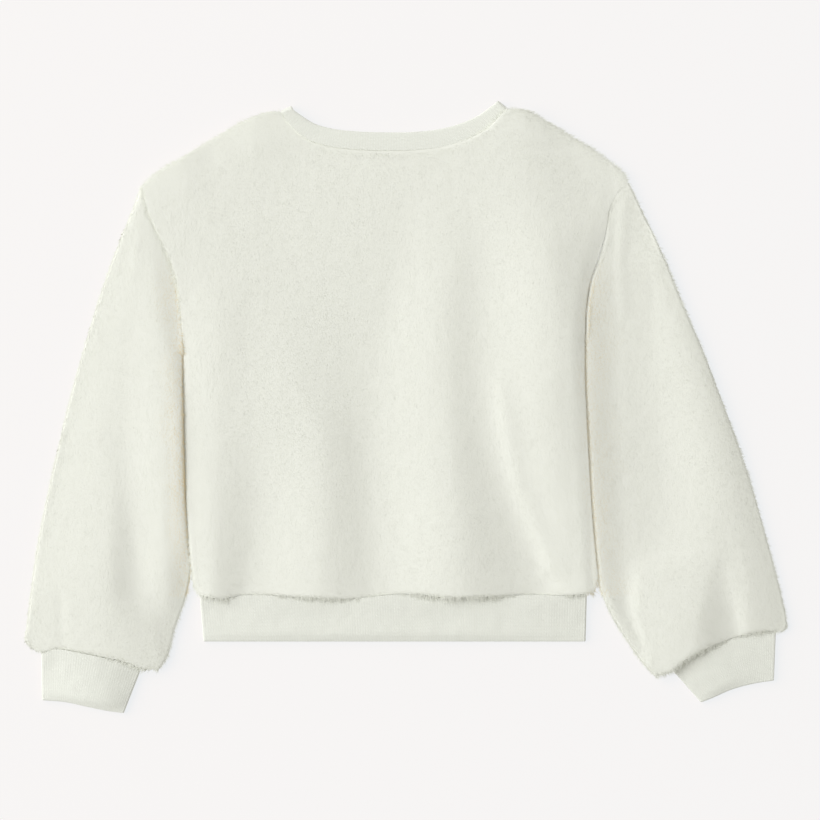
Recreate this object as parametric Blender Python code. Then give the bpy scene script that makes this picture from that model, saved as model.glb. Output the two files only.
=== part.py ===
"""Sherpa fleece pullover in a child's size, laid flat on a surface with its back panel uppermost.

The garment is cut and sewn from eight pieces, and each one is a solid of its own:

    back_panel, front_panel     thick plush fleece, one on the other
    left_sleeve, right_sleeve   full fleece sleeves, flattened tubes with dropped shoulders
    neckband                    folded rib, round the neck opening and over both neck points
    hem_band                    folded rib, a flattened tube below the fleece
    left_cuff, right_cuff       folded rib, flattened tubes below the sleeves

+X is the wearer's right and +Y points to the neck. The garment rests on z = 0, and the
origin is below the middle of its box. All the sizes here are in millimetres, and the meshes
are in metres. A cloth is worked out in two steps: its plan is a grid between four edge lines,
and its heights come from the rounding of the edges and from the soft ridges of the cloth.
Pieces that meet at a seam share the grid lines that reach it, so the gap between them is even.
"""

from collections import namedtuple

import bmesh
import bpy
import numpy as np

MM = 0.001

# ---------------------------------------------------------------- driving dimensions

SEAM_GAP = 0.3          # between pieces that are sewn to each other
FLEECE_WALL = 5.0       # backing and pile of one layer of fleece
RIB_WALL = 2.4          # one layer of folded rib, two plies
NECKBAND_WALL = 3.2     # the neckband is folded rib too, thicker where its seam is turned in
NECKBAND_WIDTH = 15.9   # at the middle of the back
NECKBAND_PINCH = 6.0    # narrower by this much at the neck points
NECK_FRONT_DROP = 50.0  # the front of the neck is cut lower than the back by this much
HEM_BAND_FOOT = -205.6  # y of the lower edge of the hem band

SIDE_ROUND = 9.0        # the sides of body and sleeves are rounded over this width
SIDE_DROP = 0.75        # and lose this share of their height
SEAM_ROUND = 10.0       # the cloth dips towards a seam over this width
SEAM_DROP = 0.3
HEM_DROP = 0.35
RIDGE_FADE = 26.0       # a ridge is hollow below only this far inside the edges
RIB_ROUND = 2.6
RIB_EDGE_DROP = 0.2

BACK_LEVEL = FLEECE_WALL + SEAM_GAP     # the back panel lies on the front panel at this height

# Edge lines of the body, x and y from one end to the other.
LEFT_SHOULDER = ((-234.0, 194.8), (-220.2, 206.7), (-197.3, 220.5), (-163.0, 241.2),
                 (-134.0, 256.3), (-120.0, 260.6), (-111.5, 260.3))
RIGHT_SHOULDER = ((88.0, 262.8), (101.3, 262.6), (122.1, 252.6), (142.0, 240.6),
                  (163.5, 227.3), (181.9, 213.5), (192.6, 203.8), (195.8, 196.3))
NECK_SEAM = ((-111.5, 260.3), (-108.1, 253.5), (-99.7, 243.5), (-88.5, 235.0), (-70.0, 228.8),
             (-46.0, 225.8), (-20.5, 224.9), (6.4, 225.3), (29.7, 227.8), (51.7, 233.8),
             (71.9, 244.9), (82.1, 255.6), (88.0, 262.8))
LEFT_ARMHOLE = ((-234.0, 194.8), (-227.0, 168.5), (-216.0, 145.0), (-206.8, 124.5),
                (-201.2, 103.0), (-198.6, 78.0), (-197.3, 45.2))
RIGHT_ARMHOLE = ((195.8, 196.3), (185.0, 188.0), (178.6, 175.5), (174.5, 153.7),
                 (167.6, 130.7), (160.4, 108.0), (157.0, 86.0), (156.0, 57.1))
LEFT_SIDE = ((-197.3, 45.2), (-196.6, -0.6), (-195.6, -45.0), (-194.2, -88.0),
             (-191.4, -122.0), (-189.2, -145.0), (-187.0, -158.0), (-183.5, -166.6))
RIGHT_SIDE = ((156.0, 57.1), (156.2, 28.0), (157.8, -15.0), (160.3, -60.0),
              (163.3, -104.4), (166.1, -135.0), (167.4, -152.0), (163.5, -165.5))
HEM_SEAM = ((-183.5, -166.6), (-164.8, -170.2), (-147.2, -167.2), (-94.4, -168.7),
            (-50.4, -170.2), (-15.2, -166.4), (8.0, -166.0), (30.0, -168.8), (64.0, -168.7),
            (108.0, -166.3), (140.0, -167.0), (163.5, -165.5))

# Edge lines of the sleeves below the armholes, from the body to the cuff.
LEFT_SLEEVE_OUTER = ((-234.4, 194.4), (-243.1, 171.9), (-254.5, 143.6), (-277.9, 75.5),
                     (-298.5, 2.1), (-314.6, -66.6), (-324.4, -113.7), (-331.8, -164.3),
                     (-334.9, -190.0), (-335.7, -208.0), (-330.0, -215.2))
LEFT_SLEEVE_INNER = ((-198.6, 45.2), (-198.1, -0.6), (-197.2, -45.0), (-195.8, -88.0),
                     (-193.4, -122.0), (-191.8, -143.0), (-195.6, -164.3), (-206.5, -196.2),
                     (-212.4, -218.9), (-220.2, -232.6))
LEFT_SLEEVE_END = ((-330.0, -215.2), (-321.0, -217.3), (-310.1, -214.4), (-289.3, -217.2),
                   (-266.3, -221.8), (-247.9, -225.7), (-236.6, -230.6), (-220.2, -232.6))
RIGHT_SLEEVE_OUTER = ((196.3, 195.9), (204.8, 177.7), (214.1, 158.4), (225.7, 133.2),
                      (244.1, 88.0), (262.5, 44.8), (278.6, 2.1), (294.6, -41.9),
                      (317.0, -117.0), (329.6, -166.0), (333.6, -184.0), (334.0, -195.0),
                      (330.5, -199.6))
RIGHT_SLEEVE_INNER = ((157.4, 57.1), (157.6, 28.0), (159.3, -15.0), (161.8, -60.0),
                      (164.8, -104.4), (167.8, -135.0), (170.4, -158.0), (179.6, -180.4),
                      (193.4, -203.4), (209.6, -226.5), (219.8, -238.0))
RIGHT_SLEEVE_END = ((330.5, -199.6), (319.0, -198.4), (306.0, -199.6), (280.9, -206.8),
                    (262.7, -214.3), (244.1, -224.6), (232.5, -234.0), (219.8, -238.0))

# A rib band is sewn to a stretch of a fleece edge, between two shares of that edge's length,
# and ends at its free edge.
Band = namedtuple("Band", "start finish free_edge")

HEM_BAND = Band(0.003, 0.983, ((-178.9, HEM_BAND_FOOT), (-10.0, HEM_BAND_FOOT),
                               (156.4, HEM_BAND_FOOT)))
LEFT_CUFF = Band(0.075, 0.87, ((-321.1, -257.5), (-300.8, -259.2), (-282.4, -263.3),
                               (-263.0, -267.4), (-250.2, -269.4)))
RIGHT_CUFF = Band(0.055, 0.87, ((322.3, -241.4), (305.5, -244.0), (285.4, -249.4),
                                (266.7, -257.5), (259.0, -260.5)))

# Soft ridges that lie lengthwise in the cloth. The height is above the flat cloth, and the
# cloth falls away over the two widths, first towards -X and then towards +X.
Ridge = namedtuple("Ridge", "height fall_left fall_right path")

BODY_RIDGES = (
    Ridge(2.4, 9.0, 11.0, ((-170.0, -10.0), (-168.0, -90.0), (-168.0, -165.0))),
    Ridge(3.8, 36.0, 15.0, ((-72.0, -30.0), (-74.0, -95.0), (-74.0, -168.0))),
    Ridge(4.0, 40.0, 17.0, ((30.0, 140.0), (36.0, 5.0), (44.0, -82.0), (52.0, -168.0))),
    Ridge(3.6, 36.0, 13.0, ((122.0, 160.0), (130.0, 5.0), (136.0, -82.0), (148.0, -150.0))),
    Ridge(1.2, 7.0, 8.0, ((92.0, 20.0), (101.0, -45.0), (113.0, -98.0), (134.0, -150.0))),
)
LEFT_SLEEVE_RIDGES = (
    Ridge(3.0, 22.0, 34.0, ((-250.0, 128.0), (-281.0, 10.0), (-297.0, -90.0), (-306.0, -180.0))),
    Ridge(2.4, 30.0, 13.0, ((-262.0, -20.0), (-259.0, -85.0), (-252.0, -165.0))),
    Ridge(3.2, 15.0, 9.0, ((-212.0, 20.0), (-210.0, -60.0), (-208.0, -130.0), (-214.0, -196.0))),
)
RIGHT_SLEEVE_RIDGES = (
    Ridge(4.4, 36.0, 15.0, ((214.0, 118.0), (254.0, 6.0), (275.0, -82.0), (286.0, -140.0))),
    Ridge(2.6, 22.0, 18.0, ((222.0, -150.0), (236.0, -202.0))),
    Ridge(3.0, 9.0, 13.0, ((291.0, -140.0), (292.0, -184.0))),
)

# Linear colour and roughness: ivory plush and ivory rib.
FLEECE_LOOK = ((0.82, 0.81, 0.73, 1.0), 0.95)
RIB_LOOK = ((0.78, 0.78, 0.68, 1.0), 0.85)
SHARP_EDGE = np.radians(50.0)   # a bend above this angle is a cut edge of the cloth


# ---------------------------------------------------------------- lines and grids in plan

def smooth_line(points, fractions):
    """Positions at fractions of the length of a smooth line through the points."""
    points = np.array(points)
    chords = np.linalg.norm(np.diff(points, axis=0), axis=1)
    marks = np.concatenate(([0.0], np.cumsum(chords)))
    slopes = np.gradient(points, marks, axis=0)
    where = np.asarray(fractions) * marks[-1]
    span = np.clip(np.searchsorted(marks, where, side="right") - 1, 0, len(chords) - 1)
    width = chords[span][:, None]
    t = (where - marks[span])[:, None] / width
    start, end = points[span], points[span + 1]
    leave, arrive = slopes[span] * width, slopes[span + 1] * width
    return (start * (2 * t ** 3 - 3 * t ** 2 + 1) + end * (3 * t ** 2 - 2 * t ** 3)
            + leave * (t ** 3 - 2 * t ** 2 + t) + arrive * (t ** 3 - t ** 2))


def along(line, stops, fractions):
    """Positions between the points of a line, which stand at the stops."""
    return np.stack([np.interp(fractions, stops, line[:, axis]) for axis in (0, 1)], axis=1)


def to_the_left(line):
    """Steps to the left at the points of a line, which move each of its spans by one unit."""
    spans = np.diff(line, axis=0)
    spans /= np.linalg.norm(spans, axis=1, keepdims=True)
    turned = np.stack((-spans[:, 1], spans[:, 0]), axis=1)
    before, after = np.vstack((turned[:1], turned)), np.vstack((turned, turned[-1:]))
    return (before + after) / (1.0 + (before * after).sum(1, keepdims=True))


def spaced(length, between, start, finish):
    """Fractions along an edge: at the given distances from its ends, and evenly between."""
    near, far = np.array(start) / length, 1.0 - np.array(finish)[::-1] / length
    return np.concatenate((near, np.linspace(near[-1], far[0], between + 2)[1:-1], far))


def whole_edge(*parts):
    """Stops of an edge in several parts, each with its share of the length and its own stops."""
    done = 0.0
    stops = [0.0]
    for share, own in parts:
        stops.extend(done + share * own[1:])
        done += share
    return np.array(stops)


def patch(first, last, left, right, across, down, grip=1):
    """Grid of plan positions between four edge lines that meet at their ends. The bends of
    the two sides reach far into the grid with a grip of 1, and less far with a higher one."""
    u = across[None, :, None]
    v = down[:, None, None]
    straight_left = (1 - v) * first[0] + v * last[0]
    straight_right = (1 - v) * first[-1] + v * last[-1]
    return ((1 - v) * first[None] + v * last[None]
            + (1 - u) ** grip * (left[:, None] - straight_left)
            + u ** grip * (right[:, None] - straight_right))


# Distances in from a rounded edge where a grid has a line, and nominal lengths of the edges.
ROUND_STEPS = (0.0, 1.8, 5.0)
RIB_STEPS = (0.0, 0.8)
CUT_END = (0.0,)
ARMHOLE_LENGTH = 165.0
SIDE_LENGTH = 215.0
SHOULDER_LENGTH = 135.0
NECK_LENGTH = 235.0
SLEEVE_LENGTH = 430.0
SLEEVE_WIDTH = 125.0
HEM_LENGTH = 340.0
CUFF_LENGTH = 84.0

ARMHOLE_STOPS = spaced(ARMHOLE_LENGTH, 4, ROUND_STEPS, ROUND_STEPS)
SIDE_STOPS = spaced(SIDE_LENGTH, 9, CUT_END, ROUND_STEPS)
SHOULDER_STOPS = spaced(SHOULDER_LENGTH, 3, ROUND_STEPS, CUT_END)
NECK_STOPS = spaced(NECK_LENGTH, 11, CUT_END, CUT_END)
SLEEVE_STOPS = spaced(SLEEVE_LENGTH, 10, ROUND_STEPS, ROUND_STEPS)

LEFT_SHOULDER_SHARE = 0.28
NECK_SHARE = 0.46
ARMHOLE_SHARE = 0.38

ACROSS = whole_edge((LEFT_SHOULDER_SHARE, SHOULDER_STOPS), (NECK_SHARE, NECK_STOPS),
                    (1.0 - LEFT_SHOULDER_SHARE - NECK_SHARE, 1.0 - SHOULDER_STOPS[::-1]))
DOWN = whole_edge((ARMHOLE_SHARE, ARMHOLE_STOPS), (1.0 - ARMHOLE_SHARE, SIDE_STOPS))

LEFT_SHOULDER_LINE = smooth_line(LEFT_SHOULDER, SHOULDER_STOPS)
RIGHT_SHOULDER_LINE = smooth_line(RIGHT_SHOULDER, 1.0 - SHOULDER_STOPS[::-1])
BACK_NECK_LINE = smooth_line(NECK_SEAM, NECK_STOPS)
LEFT_ARMHOLE_LINE = smooth_line(LEFT_ARMHOLE, ARMHOLE_STOPS)
RIGHT_ARMHOLE_LINE = smooth_line(RIGHT_ARMHOLE, ARMHOLE_STOPS)
LEFT_SIDE_LINE = smooth_line(LEFT_SIDE, SIDE_STOPS)
RIGHT_SIDE_LINE = smooth_line(RIGHT_SIDE, SIDE_STOPS)
HEM_LINE = smooth_line(HEM_SEAM, ACROSS)

# The front neck is the back one cut lower, in a rounded scoop that starts at the neck points.
SCOOP_FULLNESS = 1.3
SCOOP = (1.0 - (2.0 * NECK_STOPS - 1.0) ** 2) ** SCOOP_FULLNESS
FRONT_NECK_LINE = BACK_NECK_LINE - NECK_FRONT_DROP * np.outer(SCOOP, (0.0, 1.0))


# ---------------------------------------------------------------- heights

def nearest(plan, line):
    """Distance from each plan position to a line, negative on the -X side of it."""
    starts, spans = line[:-1], np.diff(line, axis=0)
    offset = plan[..., None, :] - starts
    t = np.clip((offset * spans).sum(-1) / (spans ** 2).sum(-1), 0.0, 1.0)
    away = offset - t[..., None] * spans
    distance = np.linalg.norm(away, axis=-1)
    pick = distance.argmin(-1)[..., None]
    side = np.take_along_axis(away[..., 0], pick, -1)[..., 0]
    return np.copysign(np.take_along_axis(distance, pick, -1)[..., 0], side)


def rounded(plan, lines, radius, drop):
    """Share of the full height near some edges: a quarter round that loses drop at each."""
    share = np.ones(plan.shape[:-1])
    for line in lines:
        inward = np.clip(np.abs(nearest(plan, line)) / radius, 0.0, 1.0)
        share *= 1.0 - drop * (1.0 - np.sqrt(1.0 - (1.0 - inward) ** 2))
    return share


def ridge_rise(plan, ridges):
    """Height that the soft ridges add to the flat cloth."""
    rise = np.zeros(plan.shape[:-1])
    for ridge in ridges:
        path = smooth_line(ridge.path, np.linspace(0.0, 1.0, 4 * len(ridge.path)))
        away = nearest(plan, path)
        fall = np.where(away < 0.0, ridge.fall_left, ridge.fall_right)
        rise += ridge.height * np.exp(-(away / fall) ** 2)
    return rise


# ---------------------------------------------------------------- solids

def material(name, look):
    """Plain finish of one piece."""
    colour, roughness = look
    finish = bpy.data.materials.new(name)
    finish.use_nodes = True
    finish.diffuse_color = colour
    shader = finish.node_tree.nodes["Principled BSDF"]
    shader.inputs["Base Color"].default_value = colour
    shader.inputs["Roughness"].default_value = roughness
    shader.inputs["Metallic"].default_value = 0.0
    return finish


def add_piece(name, points, faces, look):
    """Mesh object in metres, smooth over the rounds and sharp at its cut edges."""
    mesh = bpy.data.meshes.new(name)
    mesh.from_pydata((points * MM).tolist(), [], faces)
    shell = bmesh.new()
    shell.from_mesh(mesh)
    bmesh.ops.recalc_face_normals(shell, faces=shell.faces)
    shell.to_mesh(mesh)
    shell.free()
    mesh.shade_smooth()
    mesh.set_sharp_from_angle(angle=SHARP_EDGE)
    mesh.materials.append(material(name, look))
    bpy.context.scene.collection.objects.link(bpy.data.objects.new(name, mesh))


def section_rings(plan, upper, under):
    """Closed rings round a cloth, one for each row: out along the top, back along the bottom."""
    top = np.dstack((plan, upper))
    bottom = np.dstack((plan, under))
    return np.concatenate((top, bottom[:, ::-1]), axis=1)


def wall_faces(first, count, size, closed=False):
    """Quads between rings that follow each other. The first ring starts at point first."""
    faces = []
    for row in range(count if closed else count - 1):
        here = first + row * size
        there = first + (row + 1) % count * size
        for k in range(size):
            after = (k + 1) % size
            faces.append((here + k, there + k, there + after, here + after))
    return faces


def add_panel(name, plan, upper, under, look):
    """One layer of cloth: rings round its rows, and a strip of quads at each end."""
    rings = section_rings(plan, upper, under)
    count, size = rings.shape[:2]
    faces = wall_faces(0, count, size)
    for start in (0, (count - 1) * size):
        for k in range(size // 2 - 1):
            faces.append((start + k, start + k + 1, start + size - 2 - k, start + size - 1 - k))
    add_piece(name, rings.reshape(-1, 3), faces, look)


def add_tube(name, outside, bore, look):
    """Flattened tube, open at both ends. Its bore is the slit between its two layers."""
    count, size = outside.shape[:2]
    hollow = count * size
    faces = wall_faces(0, count, size) + wall_faces(hollow, count, size)
    for start in (0, (count - 1) * size):
        for k in range(size):
            after = (k + 1) % size
            inner = hollow + start
            faces.append((start + k, start + after, inner + after, inner + k))
    points = np.concatenate((outside.reshape(-1, 3), bore.reshape(-1, 3)))
    add_piece(name, points, faces, look)


BORE_REACH = 2.5        # the points within this many walls of a tube's side are drawn in


def bore_of(plan, across, inset):
    """Plan of a tube's bore. Each row keeps its own points, except that those near its two
    ends are drawn in. The inset is the wall as a share of the row."""
    reach = BORE_REACH * inset
    drawn_in = inset + across * (reach - inset) / reach
    narrowed = np.where(across < reach, drawn_in, across)
    narrowed = np.where(across > 1.0 - reach, 1.0 - drawn_in[::-1], narrowed)
    return np.stack([along(row, across, narrowed) for row in plan])


# ---------------------------------------------------------------- the body

def body_plan(neck_line):
    top = np.concatenate((LEFT_SHOULDER_LINE, neck_line[1:], RIGHT_SHOULDER_LINE[1:]))
    left = np.concatenate((LEFT_ARMHOLE_LINE, LEFT_SIDE_LINE[1:]))
    right = np.concatenate((RIGHT_ARMHOLE_LINE, RIGHT_SIDE_LINE[1:]))
    return patch(top, HEM_LINE, left, right, ACROSS, DOWN, grip=4)


FREE_SIDES = (LEFT_SIDE_LINE, RIGHT_SIDE_LINE, LEFT_SHOULDER_LINE, RIGHT_SHOULDER_LINE)
BACK_SEAMS = (LEFT_ARMHOLE_LINE, RIGHT_ARMHOLE_LINE, BACK_NECK_LINE)


def build_back_panel():
    """Uppermost layer. Its ridges stand clear of the front panel by their own height."""
    plan = body_plan(BACK_NECK_LINE)
    rise = ridge_rise(plan, BODY_RIDGES)
    share = (rounded(plan, FREE_SIDES, SIDE_ROUND, SIDE_DROP)
             * rounded(plan, BACK_SEAMS, SEAM_ROUND, SEAM_DROP)
             * rounded(plan, (HEM_LINE,), SEAM_ROUND, HEM_DROP))
    hollow = rounded(plan, FREE_SIDES + BACK_SEAMS + (HEM_LINE,), RIDGE_FADE, 1.0)
    upper = BACK_LEVEL + (FLEECE_WALL + rise) * share
    add_panel("back_panel", plan, upper, BACK_LEVEL + rise * hollow, FLEECE_LOOK)


def build_front_panel():
    """Layer on the ground, flat below and rounded up at its free sides."""
    plan = body_plan(FRONT_NECK_LINE)
    under = FLEECE_WALL * (1.0 - rounded(plan, FREE_SIDES, SIDE_ROUND, SIDE_DROP))
    add_panel("front_panel", plan, np.full_like(under, FLEECE_WALL), under, FLEECE_LOOK)


# ---------------------------------------------------------------- the sleeves

def build_sleeve(name, armhole, outer, inner, end, ridges):
    """Flattened tube from the armhole seam to the cuff. Its layers meet the body panels."""
    outer_line = smooth_line(outer, SLEEVE_STOPS)
    inner_line = smooth_line(inner, SLEEVE_STOPS)
    first = armhole + SEAM_GAP * to_the_left(armhole) * np.sign(outer_line[-1, 0])
    last = smooth_line(end, ARMHOLE_STOPS)
    outer_line[0], inner_line[0] = first[0], first[-1]
    plan = patch(first, last, outer_line, inner_line, ARMHOLE_STOPS, SLEEVE_STOPS)
    bore = bore_of(plan, ARMHOLE_STOPS, FLEECE_WALL / SLEEVE_WIDTH)

    sides = (outer_line, inner_line)
    share = rounded(plan, sides, SIDE_ROUND, SIDE_DROP)
    ends = (rounded(plan, (first,), SEAM_ROUND, SEAM_DROP)
            * rounded(plan, (last,), SEAM_ROUND, HEM_DROP))
    upper = BACK_LEVEL + (FLEECE_WALL + ridge_rise(plan, ridges)) * share * ends
    under = FLEECE_WALL * (1.0 - share)
    lift = ridge_rise(bore, ridges) * rounded(bore, sides + (first, last), RIDGE_FADE, 1.0)
    add_tube(name, section_rings(plan, upper, under),
             section_rings(bore, BACK_LEVEL + lift, np.full_like(lift, FLEECE_WALL)), FLEECE_LOOK)
    return last


# ---------------------------------------------------------------- the ribbed bands

RIB_DOWN = np.array((0.0, 0.5, 0.98, 1.0))      # rows from the seam to the free edge


def build_rib_tube(name, fleece_edge, edge_stops, band, length, outward):
    """Flattened tube of folded rib, from a stretch of a fleece edge to its free edge."""
    seam_line = fleece_edge + outward * SEAM_GAP * to_the_left(fleece_edge)
    near = np.array(RIB_STEPS) / length
    shared = (edge_stops - band.start) / (band.finish - band.start)
    shared = shared[(shared > 2.0 * near[-1]) & (shared < 1.0 - 2.0 * near[-1])]
    across = np.concatenate((near, shared, 1.0 - near[::-1]))
    seam = along(seam_line, edge_stops, band.start + across * (band.finish - band.start))
    free = smooth_line(band.free_edge, across)
    sides = [(1.0 - RIB_DOWN[:, None]) * seam[k] + RIB_DOWN[:, None] * free[k] for k in (0, -1)]
    plan = patch(seam, free, sides[0], sides[1], across, RIB_DOWN)
    bore = bore_of(plan, across, RIB_WALL / length)

    share = rounded(plan, sides, RIB_ROUND, SIDE_DROP)
    middle = RIB_WALL + SEAM_GAP / 2.0
    upper = middle + middle * share * rounded(plan, (free,), RIB_ROUND, RIB_EDGE_DROP)
    ground = np.full(bore.shape[:-1], RIB_WALL)
    add_tube(name, section_rings(plan, upper, middle * (1.0 - share)),
             section_rings(bore, ground + SEAM_GAP, ground), RIB_LOOK)


# ---------------------------------------------------------------- the neckband

NECK_FOLD_RADIUS = BACK_LEVEL / 2.0
NECK_FOLD_STEPS = 4
NECKBAND_BEVEL = 1.4    # the free edge of the band is bevelled over this width


def band_section(reach):
    """Section across the neckband, out from its seam and up from its middle layer."""
    half = NECKBAND_WALL / 2.0
    return ((0.0, -half), (0.0, half), (reach / 2.0, half), (reach - NECKBAND_BEVEL, half),
            (reach, half / 3.0), (reach, -half / 3.0), (reach - NECKBAND_BEVEL, -half))


def neck_stretch(line, width, height, turn):
    """Places along one neck seam: seam point, direction into the neck, width, height, lean."""
    upright = np.array((0.0, 0.0, turn))
    return [(point, side, reach, height, upright)
            for point, side, reach in zip(line, to_the_left(line), width)]


def neck_fold(place, outward):
    """Places round the half circle where the band folds over at a neck point, from the top."""
    point, side, reach, height, _ = place
    away = outward * np.array((side[1], -side[0]))
    places = []
    for step in range(1, NECK_FOLD_STEPS + 1):
        angle = np.pi * step / (NECK_FOLD_STEPS + 1)
        lean = np.append(away * np.sin(angle), np.cos(angle))
        lower = height - NECK_FOLD_RADIUS * (1.0 - np.cos(angle))
        places.append((point + away * NECK_FOLD_RADIUS * np.sin(angle), side, reach, lower, lean))
    return places


def build_neckband():
    """Ring of folded rib. It lies along the back neck, folds over at each neck point, and
    lies below the back panel along the front neck."""
    reach_of_fold = NECK_FOLD_RADIUS + NECKBAND_WALL / 2.0
    inset = reach_of_fold / NECK_LENGTH
    stops = np.concatenate(([inset], NECK_STOPS[1:-1], [1.0 - inset]))
    width = NECKBAND_WIDTH - NECKBAND_PINCH * (2.0 * stops - 1.0) ** 6
    lower = NECKBAND_WALL / 2.0
    back = neck_stretch(along(BACK_NECK_LINE, NECK_STOPS, stops), width,
                        lower + 2.0 * NECK_FOLD_RADIUS, 1.0)
    front = neck_stretch(along(FRONT_NECK_LINE, NECK_STOPS, stops), width, lower, -1.0)
    ring = back + neck_fold(back[-1], 1.0) + front[::-1] + neck_fold(back[0], -1.0)[::-1]

    rings = []
    for point, side, reach, height, lean in ring:
        seam = np.append(point + side * SEAM_GAP, height)
        into_neck = np.append(side, 0.0)
        rings.append([seam + into_neck * out + lean * up for out, up in band_section(reach)])
    rings = np.array(rings)
    faces = wall_faces(0, rings.shape[0], rings.shape[1], closed=True)
    add_piece("neckband", rings.reshape(-1, 3), faces, RIB_LOOK)


# ---------------------------------------------------------------- assembly

for leftover in list(bpy.data.objects):
    bpy.data.objects.remove(leftover, do_unlink=True)

build_front_panel()
build_back_panel()
left_end = build_sleeve("left_sleeve", LEFT_ARMHOLE_LINE, LEFT_SLEEVE_OUTER,
                        LEFT_SLEEVE_INNER, LEFT_SLEEVE_END, LEFT_SLEEVE_RIDGES)
right_end = build_sleeve("right_sleeve", RIGHT_ARMHOLE_LINE, RIGHT_SLEEVE_OUTER,
                         RIGHT_SLEEVE_INNER, RIGHT_SLEEVE_END, RIGHT_SLEEVE_RIDGES)
build_neckband()
build_rib_tube("hem_band", HEM_LINE, ACROSS, HEM_BAND, HEM_LENGTH, -1.0)
build_rib_tube("left_cuff", left_end, ARMHOLE_STOPS, LEFT_CUFF, CUFF_LENGTH, -1.0)
build_rib_tube("right_cuff", right_end, ARMHOLE_STOPS, RIGHT_CUFF, CUFF_LENGTH, 1.0)
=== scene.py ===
# %% [markdown]
# # A child's sherpa fleece pullover, laid flat
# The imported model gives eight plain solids: two body panels, two sleeves, a neckband, a hem band
# and two cuffs. This lesson replaces each of them with cloth. The plush is built in two parts,
# as it is knitted: a thin shell for the backing, and many small tufts of pile that stand on it.
# The rib bands are built from their ribs. The frame comes first, because it fixes every place.

import bpy
import numpy as np
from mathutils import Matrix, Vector


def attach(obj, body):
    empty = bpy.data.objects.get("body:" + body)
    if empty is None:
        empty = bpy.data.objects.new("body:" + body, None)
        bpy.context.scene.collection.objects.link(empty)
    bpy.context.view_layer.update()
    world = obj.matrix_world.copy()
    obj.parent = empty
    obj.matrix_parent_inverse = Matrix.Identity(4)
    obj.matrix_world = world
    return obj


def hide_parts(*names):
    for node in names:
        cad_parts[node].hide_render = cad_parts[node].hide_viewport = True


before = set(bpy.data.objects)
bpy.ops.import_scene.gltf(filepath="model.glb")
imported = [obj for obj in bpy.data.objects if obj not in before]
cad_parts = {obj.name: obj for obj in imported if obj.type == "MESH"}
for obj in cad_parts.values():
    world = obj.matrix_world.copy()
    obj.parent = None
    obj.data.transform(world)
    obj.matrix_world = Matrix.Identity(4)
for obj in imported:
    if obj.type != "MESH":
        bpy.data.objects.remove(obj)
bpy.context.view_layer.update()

print("nodes:", sorted(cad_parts))

# %% [markdown]
# ## Camera and light
# The pullover is seen from straight above. A long lens far away keeps the thick cloth from
# leaning outwards at the sides, as a short lens close by would make it do. A very soft lamp
# stands to the upper left, so that folds are bright on that side and shaded on the other. The
# sky is a little warmer than the lamp, as light is that has bounced off a room.

# %% Camera
MM = 0.001                      # lengths are in millimetres until they reach Blender
RENDER_WIDTH = 820              # in pixels
PIXEL = 0.88                    # width of floor that one pixel shows
VIEW_CENTRE = (2.4, -3.2)
LENS = 180.0
SENSOR = 36.0
OUTLINE_HEIGHT = 5.0            # the cloth's outline is about this high above the floor

camera_data = bpy.data.cameras.new("camera")
camera_data.lens = LENS
camera_data.sensor_width = SENSOR
camera_data.clip_end = 20000.0 * MM
camera = bpy.data.objects.new("camera", camera_data)
camera_height = OUTLINE_HEIGHT + RENDER_WIDTH * PIXEL * LENS / SENSOR
camera.location = (VIEW_CENTRE[0] * MM, VIEW_CENTRE[1] * MM, camera_height * MM)
bpy.context.scene.collection.objects.link(camera)
bpy.context.scene.camera = camera
print("camera height in m:", round(camera.location.z, 3))

# %% Light
LAMP_FROM = Vector((-0.82, 0.24, 0.60)).normalized()
LAMP_DISTANCE = 8000.0
LAMP_SIZE = 10200.0             # it fills a wide part of the sky, so its shadows are very soft
LAMP_POWER = 765.0
LAMP_COLOUR = (0.975, 0.985, 1.0)
SKY_COLOUR = (1.0, 0.985, 0.955, 1.0)
SKY_STRENGTH = 0.5

lamp_data = bpy.data.lights.new("soft_lamp", "AREA")
lamp_data.shape = "DISK"
lamp_data.size = LAMP_SIZE * MM
lamp_data.energy = LAMP_POWER
lamp_data.color = LAMP_COLOUR
lamp = bpy.data.objects.new("soft_lamp", lamp_data)
lamp.location = LAMP_DISTANCE * MM * LAMP_FROM
lamp.rotation_euler = LAMP_FROM.to_track_quat("Z", "Y").to_euler()
lamp.visible_camera = False
bpy.context.scene.collection.objects.link(lamp)

sky = bpy.data.worlds.new("sky")
sky.use_nodes = True
background = sky.node_tree.nodes["Background"]
background.inputs["Color"].default_value = SKY_COLOUR
background.inputs["Strength"].default_value = SKY_STRENGTH
bpy.context.scene.world = sky
bpy.context.scene.view_settings.view_transform = "Standard"
print("lamp at, in m:", [round(value, 2) for value in lamp.location])

# %% [markdown]
# ## The floor
# A sheet of pale paper lies under the pullover. Plain white paper would show every soft shadow
# at its full strength. So this one reflects only a little of the lamp's light and gives off the
# rest itself, which keeps the shadows beside the cloth faint and a little blue.

# %% Floor
FLOOR_REACH = 6000.0
FLOOR_LEVEL = -0.2
PAPER_COLOUR = (0.20, 0.125, 0.08, 1.0)
PAPER_GLOW = (0.734, 0.791, 0.828, 1.0)

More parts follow.
